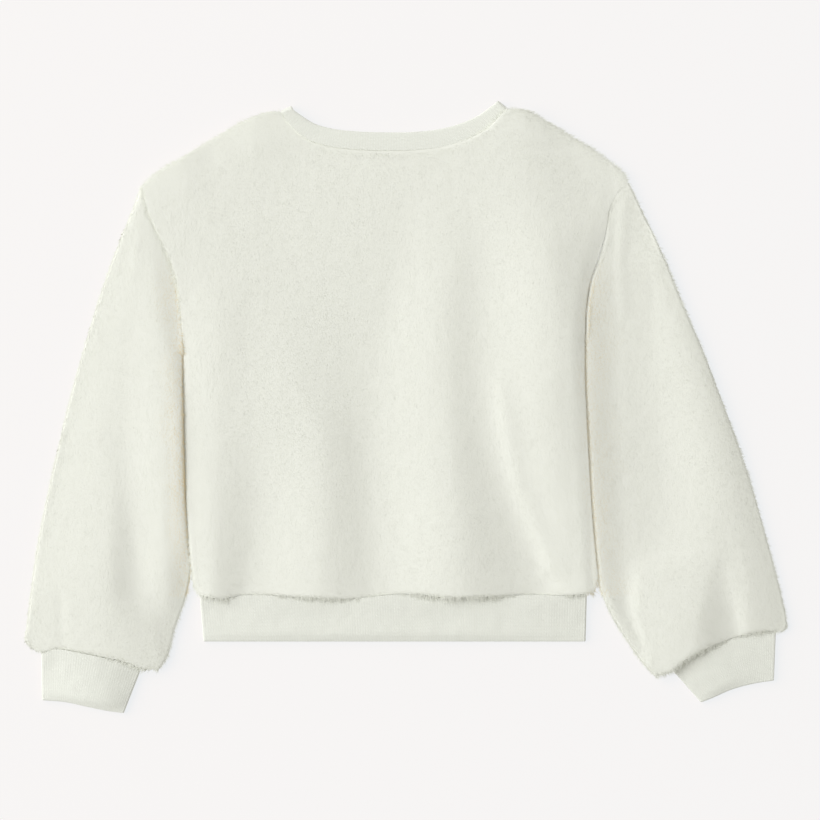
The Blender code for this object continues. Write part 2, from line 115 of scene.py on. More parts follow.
corners = [(x * FLOOR_REACH * MM, y * FLOOR_REACH * MM, FLOOR_LEVEL * MM)
           for x, y in ((-1, -1), (1, -1), (1, 1), (-1, 1))]
floor_mesh = bpy.data.meshes.new("floor")
floor_mesh.from_pydata(corners, [], [(0, 1, 2, 3)])
paper = bpy.data.materials.new("pale_paper")
paper.use_nodes = True
paper_shader = paper.node_tree.nodes["Principled BSDF"]
for socket, value in (("Base Color", PAPER_COLOUR), ("Roughness", 0.9),
                      ("Specular IOR Level", 0.0), ("Emission Color", PAPER_GLOW),
                      ("Emission Strength", 1.0)):
    paper_shader.inputs[socket].default_value = value
floor_mesh.materials.append(paper)
floor = bpy.data.objects.new("floor", floor_mesh)
bpy.context.scene.collection.objects.link(floor)
print("floor level in mm:", FLOOR_LEVEL)

# %% [markdown]
# ## The pattern
# A maker starts from the outlines of the pattern pieces, and so does this script. The lines
# below are the same outlines from which the solids were built, in millimetres, so that the
# cloth lies exactly where the solids are. Each line is smooth through its points.

# %% Outlines of the body
LEFT_SHOULDER = ((-234.0, 194.8), (-220.2, 206.7), (-197.3, 220.5), (-163.0, 241.2),
                 (-134.0, 256.3), (-120.0, 260.6), (-111.5, 260.3))
RIGHT_SHOULDER = ((88.0, 262.8), (101.3, 262.6), (122.1, 252.6), (142.0, 240.6),
                  (163.5, 227.3), (181.9, 213.5), (192.6, 203.8), (195.8, 196.3))
NECK_SEAM = ((-111.5, 260.3), (-108.1, 253.5), (-99.7, 243.5), (-88.5, 235.0), (-70.0, 228.8),
             (-46.0, 225.8), (-20.5, 224.9), (6.4, 225.3), (29.7, 227.8), (51.7, 233.8),
             (71.9, 244.9), (82.1, 255.6), (88.0, 262.8))
LEFT_ARMHOLE = ((-234.0, 194.8), (-227.0, 168.5), (-216.0, 145.0), (-206.8, 124.5),
                (-201.2, 103.0), (-198.6, 78.0), (-197.3, 45.2))
RIGHT_ARMHOLE = ((195.8, 196.3), (185.0, 188.0), (178.6, 175.5), (174.5, 153.7),
                 (167.6, 130.7), (160.4, 108.0), (157.0, 86.0), (156.0, 57.1))
LEFT_SIDE = ((-197.3, 45.2), (-196.6, -0.6), (-195.6, -45.0), (-194.2, -88.0),
             (-191.4, -122.0), (-189.2, -145.0), (-187.0, -158.0), (-183.5, -166.6))
RIGHT_SIDE = ((156.0, 57.1), (156.2, 28.0), (157.8, -15.0), (160.3, -60.0),
              (163.3, -104.4), (166.1, -135.0), (167.4, -152.0), (163.5, -165.5))
HEM_SEAM = ((-183.5, -166.6), (-164.8, -170.2), (-147.2, -167.2), (-94.4, -168.7),
            (-50.4, -170.2), (-15.2, -166.4), (8.0, -166.0), (30.0, -168.8), (64.0, -168.7),
            (108.0, -166.3), (140.0, -167.0), (163.5, -165.5))
NECK_FRONT_DROP = 50.0          # the front of the neck is cut lower by this much

# %% Outlines of the sleeves
LEFT_SLEEVE_OUTER = ((-234.4, 194.4), (-243.1, 171.9), (-254.5, 143.6), (-277.9, 75.5),
                     (-298.5, 2.1), (-314.6, -66.6), (-324.4, -113.7), (-331.8, -164.3),
                     (-334.9, -190.0), (-335.7, -208.0), (-330.0, -215.2))
LEFT_SLEEVE_INNER = ((-198.6, 45.2), (-198.1, -0.6), (-197.2, -45.0), (-195.8, -88.0),
                     (-193.4, -122.0), (-191.8, -143.0), (-195.6, -164.3), (-206.5, -196.2),
                     (-212.4, -218.9), (-220.2, -232.6))
LEFT_SLEEVE_END = ((-330.0, -215.2), (-321.0, -217.3), (-310.1, -214.4), (-289.3, -217.2),
                   (-266.3, -221.8), (-247.9, -225.7), (-236.6, -230.6), (-220.2, -232.6))
RIGHT_SLEEVE_OUTER = ((196.3, 195.9), (204.8, 177.7), (214.1, 158.4), (225.7, 133.2),
                      (244.1, 88.0), (262.5, 44.8), (278.6, 2.1), (294.6, -41.9),
                      (317.0, -117.0), (329.6, -166.0), (333.6, -184.0), (334.0, -195.0),
                      (330.5, -199.6))
RIGHT_SLEEVE_INNER = ((157.4, 57.1), (157.6, 28.0), (159.3, -15.0), (161.8, -60.0),
                      (164.8, -104.4), (167.8, -135.0), (170.4, -158.0), (179.6, -180.4),
                      (193.4, -203.4), (209.6, -226.5), (219.8, -238.0))
RIGHT_SLEEVE_END = ((330.5, -199.6), (319.0, -198.4), (306.0, -199.6), (280.9, -206.8),
                    (262.7, -214.3), (244.1, -224.6), (232.5, -234.0), (219.8, -238.0))

# %% Free edges of the rib bands, and where each band starts and ends along its seam
HEM_FREE = ((-178.9, -207.0), (-10.0, -207.0), (156.4, -207.0))
HEM_SPAN = (0.003, 0.983)
LEFT_CUFF_FREE = ((-321.1, -258.7), (-300.8, -260.4), (-282.4, -264.4), (-263.0, -268.3),
                  (-250.2, -270.0))
LEFT_CUFF_SPAN = (0.075, 0.87)
RIGHT_CUFF_FREE = ((322.3, -241.4), (305.5, -244.0), (285.4, -249.4), (266.7, -257.5),
                   (259.0, -260.5))
RIGHT_CUFF_SPAN = (0.13, 0.945)     # from its inner end

# %% [markdown]
# ## Lines and grids
# Cloth is easiest to shape on a grid whose lines follow its edges. A smooth line runs through
# the points of each outline, and a patch fills the space between four such lines. Blender's own
# tools could loft such a surface too, but a grid of numbers is simple to bend, fold and cover
# with pile in the steps that follow.

# %% Smooth lines
def bend(t, first, last, leave, arrive):
    """A smooth way from first to last, with the slopes that it leaves and arrives with."""
    return (first * (2 * t ** 3 - 3 * t ** 2 + 1) + last * (3 * t ** 2 - 2 * t ** 3)
            + leave * (t ** 3 - 2 * t ** 2 + t) + arrive * (t ** 3 - t ** 2))


def smooth_line(points, fractions):
    """Places at fractions of the length of a smooth line through the points."""
    points = np.array(points)
    chords = np.linalg.norm(np.diff(points, axis=0), axis=1)
    marks = np.concatenate(([0.0], np.cumsum(chords)))
    slopes = np.gradient(points, marks, axis=0)
    where = np.asarray(fractions) * marks[-1]
    span = np.clip(np.searchsorted(marks, where, side="right") - 1, 0, len(chords) - 1)
    width = chords[span][:, None]
    t = (where - marks[span])[:, None] / width
    return bend(t, points[span], points[span + 1], slopes[span] * width,
                slopes[span + 1] * width)


def to_the_left(line):
    """Steps to the left at the points of a line, which move each of its spans by one unit."""
    spans = np.diff(line, axis=0)
    spans /= np.linalg.norm(spans, axis=1, keepdims=True)
    turned = np.stack((-spans[:, 1], spans[:, 0]), axis=1)
    before, after = np.vstack((turned[:1], turned)), np.vstack((turned, turned[-1:]))
    return (before + after) / (1.0 + (before * after).sum(1, keepdims=True))


# %% Stops along an edge
def stops(length, step, fine_first=False, fine_last=False, reach=9.0):
    """Fractions of an edge about a step apart, and half a step apart near its rounded ends."""
    where = np.linspace(0.0, length, 600)
    fine = (fine_first & (where < reach)) | (fine_last & (where > length - reach))
    marks = np.cumsum(np.where(fine, 2.0, 1.0))
    marks = (marks - marks[0]) / (marks[-1] - marks[0])
    count = int(length / step + (int(fine_first) + int(fine_last)) * reach / step) + 1
    return np.interp(np.linspace(0.0, 1.0, count), marks, where / length)


def whole_edge(*parts):
    """Stops of an edge in several parts, each with its share of the length and its own stops."""
    done = 0.0
    whole = [0.0]
    for share, own in parts:
        whole.extend(done + share * own[1:])
        done += share
    return np.array(whole)


# %% A patch of cloth between four lines
def patch(first, last, left, right, across, down, grip=1):
    """Grid of places between four edge lines. A higher grip keeps the bends of the two sides
    from reaching far into the grid."""
    u = across[None, :, None]
    v = down[:, None, None]
    straight_left = (1 - v) * first[0] + v * last[0]
    straight_right = (1 - v) * first[-1] + v * last[-1]
    return ((1 - v) * first[None] + v * last[None]
            + (1 - u) ** grip * (left[:, None] - straight_left)
            + u ** grip * (right[:, None] - straight_right))


# %% [markdown]
# ## Heights: rounded edges, folds and streaks
# Laid out, the plush is almost flat. It dips at its seams, rounds down at its free sides, and
# lies in long soft folds that run down from the shoulders and the elbows. Each fold is given by
# the lines of its crest and its trough, with a height at each point, and the cloth runs smoothly
# from line to line. Finer streaks are ridges of their own, with a width to either side. A cloth
# simulation would put folds wherever it likes, so their lines were placed one by one, and their
# heights were then fitted, with a helper program, until the light fell on them as it should.

# %% Distance to a line
def nearest(plan, line):
    """Distance from each place to a line, negative to the right of it, and the direction to
    the left of the line there."""
    starts, spans = line[:-1], np.diff(line, axis=0)
    lengths = np.linalg.norm(spans, axis=1, keepdims=True)
    left = np.stack((-spans[:, 1], spans[:, 0]), axis=1) / lengths
    offset = plan[..., None, :] - starts
    t = np.clip((offset * spans).sum(-1) / (spans ** 2).sum(-1), 0.0, 1.0)
    away = offset - t[..., None] * spans
    distance = np.linalg.norm(away, axis=-1)
    pick = distance.argmin(-1)
    closest = np.take_along_axis(distance, pick[..., None], -1)[..., 0]
    side = np.take_along_axis((offset * left).sum(-1), pick[..., None], -1)[..., 0]
    return np.copysign(closest, side), left[pick]


def rounded(plan, lines, radius, drop):
    """Share of the full height near some edges: a quarter round that loses drop at each."""
    share = np.ones(plan.shape[:-1])
    for line in lines:
        inward = np.clip(np.abs(nearest(plan, line)[0]) / radius, 0.0, 1.0)
        share *= 1.0 - drop * (1.0 - np.sqrt(1.0 - (1.0 - inward) ** 2))
    return share


def all_rounded(plan, *edges):
    """The same for several kinds of edge, each with its lines, radius and drop."""
    return np.prod([rounded(plan, *edge) for edge in edges], axis=0)


# %% Moving the edges
def draw_in(plan, line, depth, reach=14.0):
    """Steps that move the places near an edge inwards, by depth at the edge itself."""
    away, left = nearest(plan, line)
    inward = np.sign(np.median(away))
    amount = depth * np.clip(1.0 - np.abs(away) / reach, 0.0, 1.0) ** 2
    return inward * amount[..., None] * left


def all_drawn_in(plan, *edges):
    """The same for several kinds of edge, each with its lines and its depth."""
    return sum(draw_in(plan, line, depth) for lines, depth in edges for line in lines)


# %% Folds
def fold_heights(plan, folds):
    """Height between crests and troughs. Each is a line from top to bottom, and its points are
    x, y and a height."""
    lines = [smooth_line(fold, np.linspace(0.0, 1.0, 80))[::-1] for fold in folds]
    along = plan[..., 1]
    x, height = (np.stack([np.interp(along, line[:, 1], line[:, k]) for line in lines])
                 for k in (0, 2))
    width = np.maximum(np.diff(x, axis=0), 0.5)
    slope = np.diff(height, axis=0) / width
    both = slope[:-1] * slope[1:]
    same_way = both > 0.0       # else the line is a crest or a trough, where the cloth is level
    middle = np.where(same_way, 2.0 * both / np.where(same_way, slope[:-1] + slope[1:], 1.0), 0.0)
    lean = np.concatenate((slope[:1], middle, slope[-1:]))
    rise = height[0]
    for k in range(len(width)):
        t = np.clip((plan[..., 0] - x[k]) / width[k], 0.0, 1.0)
        span = bend(t, height[k], height[k + 1], width[k] * lean[k], width[k] * lean[k + 1])
        rise = np.where(plan[..., 0] > x[k], span, rise)
    return rise


# %% Streaks
def soft_step(values):
    """Eases values from 0 to 1, with no kink at either end."""
    values = np.clip(values, 0.0, 1.0)
    return values * values * (3.0 - 2.0 * values)


def ridge_rise(plan, ridges):
    """Height that soft ridges add. A ridge is its height, how far it falls away to the left and
    to the right, how long it takes to rise and to die away, and its path from top to bottom."""
    rise = np.zeros(plan.shape[:-1])
    for height, fall_left, fall_right, start, end, path in ridges:
        line = smooth_line(path, np.linspace(0.0, 1.0, 60))[::-1]
        along = np.clip(plan[..., 1], line[0, 1], line[-1, 1])
        slope = np.interp(along, line[:, 1], np.gradient(line[:, 0], line[:, 1]))
        away = plan[..., 0] - np.interp(along, line[:, 1], line[:, 0])
        away = (away - slope * (plan[..., 1] - along)) / np.sqrt(1.0 + slope ** 2)
        here = height * np.exp(-(away / np.where(away < 0.0, fall_left, fall_right)) ** 2)
        if start:
            here = here * soft_step((line[-1, 1] - plan[..., 1]) / start)
        if end:
            here = here * soft_step((plan[..., 1] - line[0, 1]) / end)
        rise += here
    return rise


# %% Uneven cloth
def mottle(plan, size, seed):
    """Smooth random values from -1 to 1, with bumps of about the given size."""
    cells = 64
    lattice = np.random.default_rng(seed).uniform(-1.0, 1.0, (cells, cells))
    where = plan / np.asarray(size) + 1000.0
    whole = np.floor(where).astype(int)
    part = where - whole
    part = part * part * (3.0 - 2.0 * part)
    i, j = whole[..., 0] % cells, whole[..., 1] % cells
    near = lattice[i, j] * (1 - part[..., 0]) + lattice[(i + 1) % cells, j] * part[..., 0]
    far = (lattice[i, (j + 1) % cells] * (1 - part[..., 0])
           + lattice[(i + 1) % cells, (j + 1) % cells] * part[..., 0])
    return near * (1 - part[..., 1]) + far * part[..., 1]


def lumps(plan, seed):
    """Soft lumps of the plush, a fraction of a millimetre high."""
    return 0.07 * mottle(plan, (8.0, 12.0), seed) + 0.03 * mottle(plan, (4.5, 6.0), seed + 1)


# %% [markdown]
# ## Closed shells
# A panel is a fine grid on top and a coarse one below, where nothing shows, joined all round by
# a rim. A sleeve is a ring of points at each of its rows, with a coarse lining ring inside it.
# Both are closed, as real cloth is, so they export as sound solids. The rims need a helper that
# joins two loops with different numbers of points.

# %% Joining two loops
def zip_loops(first, second, first_marks, second_marks):
    """Triangles between two closed loops. The marks say how far round each point is."""
    faces = []
    i = j = 0
    whole = max(first_marks[-1], second_marks[-1]) + 1.0
    while i < len(first) or j < len(second):
        next_first = first_marks[i + 1] if i + 1 < len(first) else whole
        next_second = second_marks[j + 1] if j + 1 < len(second) else whole
        a, b = first[i % len(first)], second[j % len(second)]
        if j >= len(second) or (i < len(first) and next_first <= next_second):
            faces.append((a, first[(i + 1) % len(first)], b))
            i += 1
        else:
            faces.append((a, second[(j + 1) % len(second)], b))
            j += 1
    return faces


def grid_faces(rows, columns, start=0, closed=False, ring=False):
    """Quads of a grid of points. With closed, its last column meets its first, and with ring
    its last row meets its first as well."""
    index = start + np.arange(rows * columns).reshape(rows, columns)
    if closed:
        index = np.hstack((index, index[:, :1]))
    if ring:
        index = np.vstack((index, index[:1]))
    corners = (index[:-1, :-1], index[1:, :-1], index[1:, 1:], index[:-1, 1:])
    return np.stack(corners, axis=-1).reshape(-1, 4).tolist()


# %% Turning points into an object
SHARP_BEND = 55.0               # an edge that bends more than this is shaded as a sharp one


def add_object(name, points, faces, material):
    """One object from points in millimetres, with its faces turned outwards."""
    mesh = bpy.data.meshes.new(name)
    mesh.from_pydata((np.asarray(points) * MM).tolist(), [], faces)
    made = bpy.data.objects.new(name, mesh)
    bpy.context.scene.collection.objects.link(made)
    bpy.context.view_layer.objects.active = made
    bpy.ops.object.mode_set(mode="EDIT")
    bpy.ops.mesh.select_all(action="SELECT")
    bpy.ops.mesh.normals_make_consistent(inside=False)
    bpy.ops.object.mode_set(mode="OBJECT")
    mesh.shade_smooth()
    mesh.set_sharp_from_angle(angle=np.radians(SHARP_BEND))
    mesh.materials.append(material)
    triangles = sum(len(face) - 2 for face in faces)
    print(f"{name}: {triangles} triangles")
    return made


# %% A panel: fine above, coarse below
def border(rows, columns, across, down):
    """Points round a grid in order, and how far round each one is, from 0 to 4."""
    index = np.arange(rows * columns).reshape(rows, columns)
    loop = np.concatenate((index[0, :-1], index[:-1, -1], index[-1, :0:-1], index[:0:-1, 0]))
    marks = np.concatenate((across[:-1], 1.0 + down[:-1], 3.0 - across[:0:-1],
                            4.0 - down[:0:-1]))
    return loop, marks


def every_few(count, step):
    """Every few of so many lines, and always the last one."""
    return np.unique(np.append(np.arange(0, count, step), count - 1))


def panel_shell(name, top, bottom, across, down, material):
    """Closed shell between two grids of points. The bottom keeps only every sixth line."""
    rows, columns = top.shape[:2]
    keep_rows, keep_columns = every_few(rows, 6), every_few(columns, 6)
    coarse = bottom[np.ix_(keep_rows, keep_columns)]
    faces = grid_faces(rows, columns)
    faces += grid_faces(len(keep_rows), len(keep_columns), start=rows * columns)
    upper, upper_marks = border(rows, columns, across, down)
    lower, lower_marks = border(len(keep_rows), len(keep_columns), across[keep_columns],
                                down[keep_rows])
    faces += zip_loops(upper.tolist(), (lower + rows * columns).tolist(), upper_marks,
                       lower_marks)
    points = np.concatenate((top.reshape(-1, 3), coarse.reshape(-1, 3)))
    return add_object(name, points, faces, material)


# %% A tube: a ring of points at each row, and a lining inside
def tube_shell(name, outside, lining, marks, lining_marks, material):
    """Closed shell between rings of points and fewer rings inside them."""
    rows, size = outside.shape[:2]
    inner_rows, inner_size = lining.shape[:2]
    start = rows * size
    faces = grid_faces(rows, size, closed=True)
    faces += grid_faces(inner_rows, inner_size, start=start, closed=True)
    for outer_row, inner_row in ((0, 0), (rows - 1, inner_rows - 1)):
        outer = list(range(outer_row * size, (outer_row + 1) * size))
        inner = [start + inner_row * inner_size + k for k in range(inner_size)]
        faces += zip_loops(outer, inner, marks, lining_marks)
    points = np.concatenate((outside.reshape(-1, 3), lining.reshape(-1, 3)))
    return add_object(name, points, faces, material)


# %% [markdown]
# ## Pile
# Plush has a nap: its fibres lean one way, here from the neck down to the hem and the cuffs.
# They gather into small locks, which give sherpa its mottled look. Hair curves would be the
# usual way to make fur in Blender, but they are not a mesh, so they would be lost when the
# model is shared. Each tuft is one slim triangle, wide at its root, and there are a few for
# every square millimetre. Their shading follows the cloth below, so they read as one soft mass.

# %% Sowing the roots
def at(grid, rows, columns):
    """Values of a grid at places between its lines."""
    i = np.minimum(rows.astype(int), grid.shape[0] - 2)
    j = np.minimum(columns.astype(int), grid.shape[1] - 2)
    s, t = (rows - i)[:, None], (columns - j)[:, None]
    grid = grid.reshape(grid.shape[0], grid.shape[1], -1)
    return ((1 - s) * ((1 - t) * grid[i, j] + t * grid[i, j + 1])
            + s * ((1 - t) * grid[i + 1, j] + t * grid[i + 1, j + 1]))


def sow(points, density, seed):
    """Rows and columns of roots, with so many for each square millimetre of a grid of cloth."""
    random = np.random.default_rng(seed)
    diagonals = points[1:, 1:] - points[:-1, :-1], points[1:, :-1] - points[:-1, 1:]
    area = 0.5 * np.linalg.norm(np.cross(*diagonals), axis=-1)
    share = np.cumsum((area * 0.5 * (density[1:, 1:] + density[:-1, :-1])).ravel())
    count = int(share[-1])
    pick = np.searchsorted(share, (np.arange(count) + random.random(count)) / count * share[-1])
    row, column = np.divmod(np.minimum(pick, share.size - 1), points.shape[1] - 1)
    return row + random.random(count), column + random.random(count)


# %% Locks
def unit(vectors):
    """The same directions, each one long."""
    return vectors / np.maximum(np.linalg.norm(vectors, axis=-1, keepdims=True), 1e-9)


def lock_centres(plan, size, seed):
    """For each root, the middle of the lock that it belongs to, and how far off that is."""
    cells = 128
    jitter = np.random.default_rng(seed).random((cells, cells, 2))
    where = plan / size + 1000.0
    whole = np.floor(where).astype(int)
    best = np.full(len(plan), np.inf)
    centre = np.zeros_like(plan)
    for i in (-1, 0, 1):
        for j in (-1, 0, 1):
            cell = whole + (i, j)
            there = cell + jitter[cell[:, 0] % cells, cell[:, 1] % cells]
            away = np.linalg.norm(there - where, axis=1)
            closer = away < best
            best = np.where(closer, away, best)
            centre[closer] = there[closer]
    return (centre - 1000.0) * size, best


# %% Light at a rim
LIMIT_TO_LAMP, LIMIT_AWAY = 0.02, 0.2   # steepest slopes that loose pile is shaded with
LIMIT_FIRM = 4.0                # what firm pile may have besides


def eased(normal, rim):
    """Directions to shade with. Loose pile at a rim lets light through, so it is never as bright
    or as dark as its slope would make it, and least of all on the side towards the lamp."""
    slope = normal[:, :2] / np.maximum(normal[:, 2:], 0.05)
    steepness = np.maximum(np.linalg.norm(slope, axis=1, keepdims=True), 1e-6)
    limit = np.where(normal[:, :1] < 0.0, LIMIT_TO_LAMP, LIMIT_AWAY) + LIMIT_FIRM * (1.0 - rim)
    slope = slope / steepness * limit * np.tanh(steepness / limit)
    return unit(np.column_stack((slope, np.ones(len(slope)))))


# %% The lie of the tufts
MOST_OVER = 1.5                 # tufts near an edge are pulled over it by up to this much
LOCK_SHAPE = (1.0, 0.7)         # locks are longer down the cloth than across it
LOCK_SIZE = 4.6


def way_down(bed, rows, columns, root, normal, random, seed):
    """The way each tuft lies: down the nap, over an edge beside it, and turned a little."""
    nap = at(bed["nap"], rows, columns)
    nap = nap + random.uniform(0.0, MOST_OVER, (len(rows), 1)) * at(bed["over"], rows, columns)
    nap = unit(nap - (nap * normal).sum(1, keepdims=True) * normal)
    turn = (0.35 * mottle(root[:, :2], (23.0, 31.0), seed)
            + 0.25 * mottle(root[:, :2], 8.0, seed + 1)
            + random.normal(0.0, 0.22, len(rows)))[:, None]
    return np.cos(turn) * nap + np.sin(turn) * np.cross(nap, normal)


def lock_pull(root, normal, seed):
    """The way from each root to the middle of its lock, and how far off that is."""
    stretched = root[:, :2] * LOCK_SHAPE
    centre, off = lock_centres(stretched, LOCK_SIZE, seed)
    pull = np.zeros_like(root)
    pull[:, :2] = (centre - stretched) / LOCK_SHAPE
    return pull - (pull * normal).sum(1, keepdims=True) * normal, off


# %% Combing the tufts
PILE_LENGTH = 4.2
PILE_LEAN = 87.4                # degrees from upright
PRESSED_LEAN = 76.0             # the same for the few wide tufts that the cloth lies on
ROOT_DEPTH = 0.4                # the roots start this far inside the backing
GATHER = 0.07                   # the tips are drawn this share of the way to their lock
MIDDLE_TONE = 0.66


def comb(bed, seed, density=1.25, width=0.6, lean=PILE_LEAN):
    """Tufts on a bed of cloth: three corners each, their shading directions, and their tone."""
    random = np.random.default_rng(seed + 1)
    rows, columns = sow(bed["points"], density * bed["density"], seed)
    count = len(rows)
    root = at(bed["points"], rows, columns)
    plan = root[:, :2]
    normal = unit(at(bed["normals"], rows, columns))
    nap = way_down(bed, rows, columns, root, normal, random, seed + 2)
    # Each tuft also takes the warm shade painted in the creases, which lowers its tone below.
    rim, ragged, warmth = (at(bed[detail], rows, columns)[:, 0]
                           for detail in ("rim", "ragged", "warmth"))
    face = np.where(rim[:, None] > 0.02, eased(normal, rim[:, None]), normal)

    lay = np.radians(lean - rim + random.normal(0.0, 1.0, count) * (0.9 + rim))[:, None]
    uneven = 0.15 + 0.45 * (mottle(plan, 5.0, seed + 6) + mottle(plan, 2.6, seed + 7))
    varied = np.clip(1.0 + random.normal(0.0, 1.0, count) * (0.1 + 0.1 * rim), 0.5, 1.6)
    reach = (PILE_LENGTH * (1.0 + ragged * uneven) * varied)[:, None]
    way = np.sin(lay) * nap + np.cos(lay) * normal
    pull, off = lock_pull(root, normal, seed + 4)
    tip = root + reach * way + (GATHER * (1.0 - rim) + 0.5 * ragged)[:, None] * pull

    twist = random.normal(0.0, 0.15, count)[:, None]
    flat = unit(np.cross(way, face))
    across = np.cos(twist) * flat + np.sin(twist) * np.cross(flat, way)
    half = 0.5 * width * random.uniform(0.75, 1.25, count)[:, None]
    low = root - ROOT_DEPTH * normal
    corners = np.stack((low - half * across, low + half * across, tip), axis=1)
    corners[..., 2] = np.maximum(corners[..., 2], bed["floor"])
    tilt = unit(face + 0.05 * pull / LOCK_SIZE)
    shading = np.stack((face, face, unit(tilt + 0.02 * nap)), axis=1)
    # Tufts far from the middle of their lock get a lower tone: painted shade in the gaps between
    # locks.
    # Tufts in a rim get a higher tone: painted light on the loose pile there.
    tone = (MIDDLE_TONE + 0.10 * (0.5 - off) + 0.08 * mottle(plan, 17.0, seed + 5)
            + random.normal(0.0, 0.03, count) + 0.05 * rim - warmth)
    return corners, shading, np.clip(tone, 0.02, 0.98)


# %% Planting the tufts
def plant(name, tufts, material):
    """One mesh of all the tufts. Its map holds the tone of each tuft and the way up it."""
    corners = np.concatenate([tuft[0] for tuft in tufts])
    shading = np.concatenate([tuft[1] for tuft in tufts])
    tone = np.concatenate([tuft[2] for tuft in tufts])
    facing = np.cross(corners[:, 1] - corners[:, 0], corners[:, 2] - corners[:, 0])
    turned = (facing * shading[:, 0]).sum(1) < 0.0
    corners[turned] = corners[turned][:, (1, 0, 2)]
    count = len(corners)

    mesh = bpy.data.meshes.new(name)
    mesh.vertices.add(3 * count)
    mesh.vertices.foreach_set("co", (corners * MM).astype(np.float32).ravel())
    mesh.loops.add(3 * count)
    mesh.loops.foreach_set("vertex_index", np.arange(3 * count, dtype=np.int32))
    mesh.polygons.add(count)
    mesh.polygons.foreach_set("loop_start", np.arange(0, 3 * count, 3, dtype=np.int32))
    mesh.update(calc_edges=True)

    spread = np.array((-0.01, 0.01, 0.0))
    tones = tone[:, None] + spread
    height = np.broadcast_to((0.0, 0.0, 1.0), (count, 3))
    values = np.stack((tones, height, np.zeros_like(tones), np.ones_like(tones)), axis=-1)
    colour = mesh.color_attributes.new("tuft", "FLOAT_COLOR", "POINT")
    colour.data.foreach_set("color", values.astype(np.float32).ravel())
    layer = mesh.uv_layers.new(name="OFBake")
    layer.uv.foreach_set("vector", np.stack((tones, 0.02 + 0.96 * height),
                                            axis=-1).astype(np.float32).ravel())
    mesh.shade_smooth()
    mesh.normals_split_custom_set_from_vertices(shading.reshape(-1, 3).tolist())
    mesh.materials.append(material)
    made = bpy.data.objects.new(name, mesh)
    bpy.context.scene.collection.objects.link(made)
    print(f"{name}: {count} tufts")
    return made


# %% Nearness to an edge
def beside(plan, lines, reach):
    """One at some edges, fading away from them."""
    away = np.minimum.reduce([np.abs(nearest(plan, line)[0]) for line in lines])
    return np.exp(-(away / reach) ** 2)


# %% A bed to plant on
def toward(plan, line, strength, reach=5.0):
    """Sideways pull on the pile near an edge, so that it hangs over the edge."""
    away, left = nearest(plan, line)
    pull = -np.sign(np.median(away)) * strength * np.exp(-(away / reach) ** 2)
    return np.dstack((pull[..., None] * left, np.zeros_like(away)))


def make_bed(points, density, floor=-1e3, **details):
    """Normals and nap of a grid of cloth, with what changes from place to place over it."""
    down, across = np.gradient(points, axis=0), np.gradient(points, axis=1)
    bed = {"points": points, "normals": unit(np.cross(down, across)), "nap": unit(down),
           "density": density, "floor": floor, "over": np.zeros_like(points)}
    bed.update((detail, np.zeros_like(density)) for detail in ("rim", "ragged", "warmth"))
    bed.update(details)
    return bed


# %% [markdown]
# ## Finish of the plush
# The fleece is an ivory white. Each tuft is painted lighter at its tip and deeper at its root, as
# painted light on the tips and painted shade down in the pile, and each tuft has its own tone. In
# the creases beside the sleeves light bounces between two layers of pile and turns warm. This is
# painted too, as a lower tone, and tufts with a low tone have warm roots. The tone and the way up
# each tuft are in its map, and nodes mix the colours from them. The backing mixes the same colours
# in small curls, where it shows between the tufts.

# %% Helpers for materials
def cloth_material(name, roughness, sheen):
    """A rough material with a little sheen: itself, its nodes, their links and its shader."""
    made = bpy.data.materials.new(name)
    made.use_nodes = True
    shader = made.node_tree.nodes["Principled BSDF"]
    for socket, value in (("Roughness", roughness), ("Specular IOR Level", 0.15),
                          ("Sheen Weight", sheen), ("Sheen Roughness", 0.5)):
        shader.inputs[socket].default_value = value
    return made, made.node_tree.nodes, made.node_tree.links, shader


def mix_colours(nodes, links, factor, first, second):
    """Mixes two colours, each one a fixed colour or a socket."""
    mix = nodes.new("ShaderNodeMix")
    mix.data_type = "RGBA"
    links.new(factor, mix.inputs[0])
    for socket, value in ((mix.inputs[6], first), (mix.inputs[7], second)):
        if isinstance(value, tuple):
            socket.default_value = value
        else:
            links.new(value, socket)
    return mix.outputs[2]


def add_relief(nodes, links, shader, heights, strength, distance):
    """Bump on a shader, from a socket of heights."""
    bump = nodes.new("ShaderNodeBump")
    bump.inputs["Strength"].default_value = strength
    bump.inputs["Distance"].default_value = distance * MM
    links.new(heights, bump.inputs["Height"])
    links.new(bump.outputs["Normal"], shader.inputs["Normal"])


# %% Pile material
# Painted light and shade: the tips are painted lighter and the roots darker and warmer, as shade
# falls deep in the pile. The backing mixes these two colours in random curls.
TIP_COLOUR = (0.845, 0.857, 0.789, 1.0)
ROOT_COLOUR = (0.82, 0.826, 0.742, 1.0)
# Painted shade: the warm, darker root colour of tufts in the creases, where light bounces between
# two layers of pile.
PAINTED_SHADE_COLOUR = (0.84, 0.68, 0.38, 1.0)
PAINTED_SHADE_BELOW = 0.5                # tufts with a lower tone than this have warm roots

pile_material, nodes, links, shader = cloth_material("ivory_pile", 0.9, 0.15)
tuft = nodes.new("ShaderNodeVertexColor")
tuft.layer_name = "tuft"
tuft_parts = nodes.new("ShaderNodeSeparateColor")
links.new(tuft.outputs["Color"], tuft_parts.inputs["Color"])
# Tufts with a low tone get the painted warm shade at their roots.
painted_shade_mix = nodes.new("ShaderNodeMapRange")
painted_shade_mix.inputs["From Min"].default_value = 0.0
painted_shade_mix.inputs["From Max"].default_value = PAINTED_SHADE_BELOW
links.new(tuft_parts.outputs["Red"], painted_shade_mix.inputs["Value"])
rooted = mix_colours(nodes, links, painted_shade_mix.outputs["Result"], PAINTED_SHADE_COLOUR, ROOT_COLOUR)
tipped = mix_colours(nodes, links, tuft_parts.outputs["Red"], rooted, TIP_COLOUR)
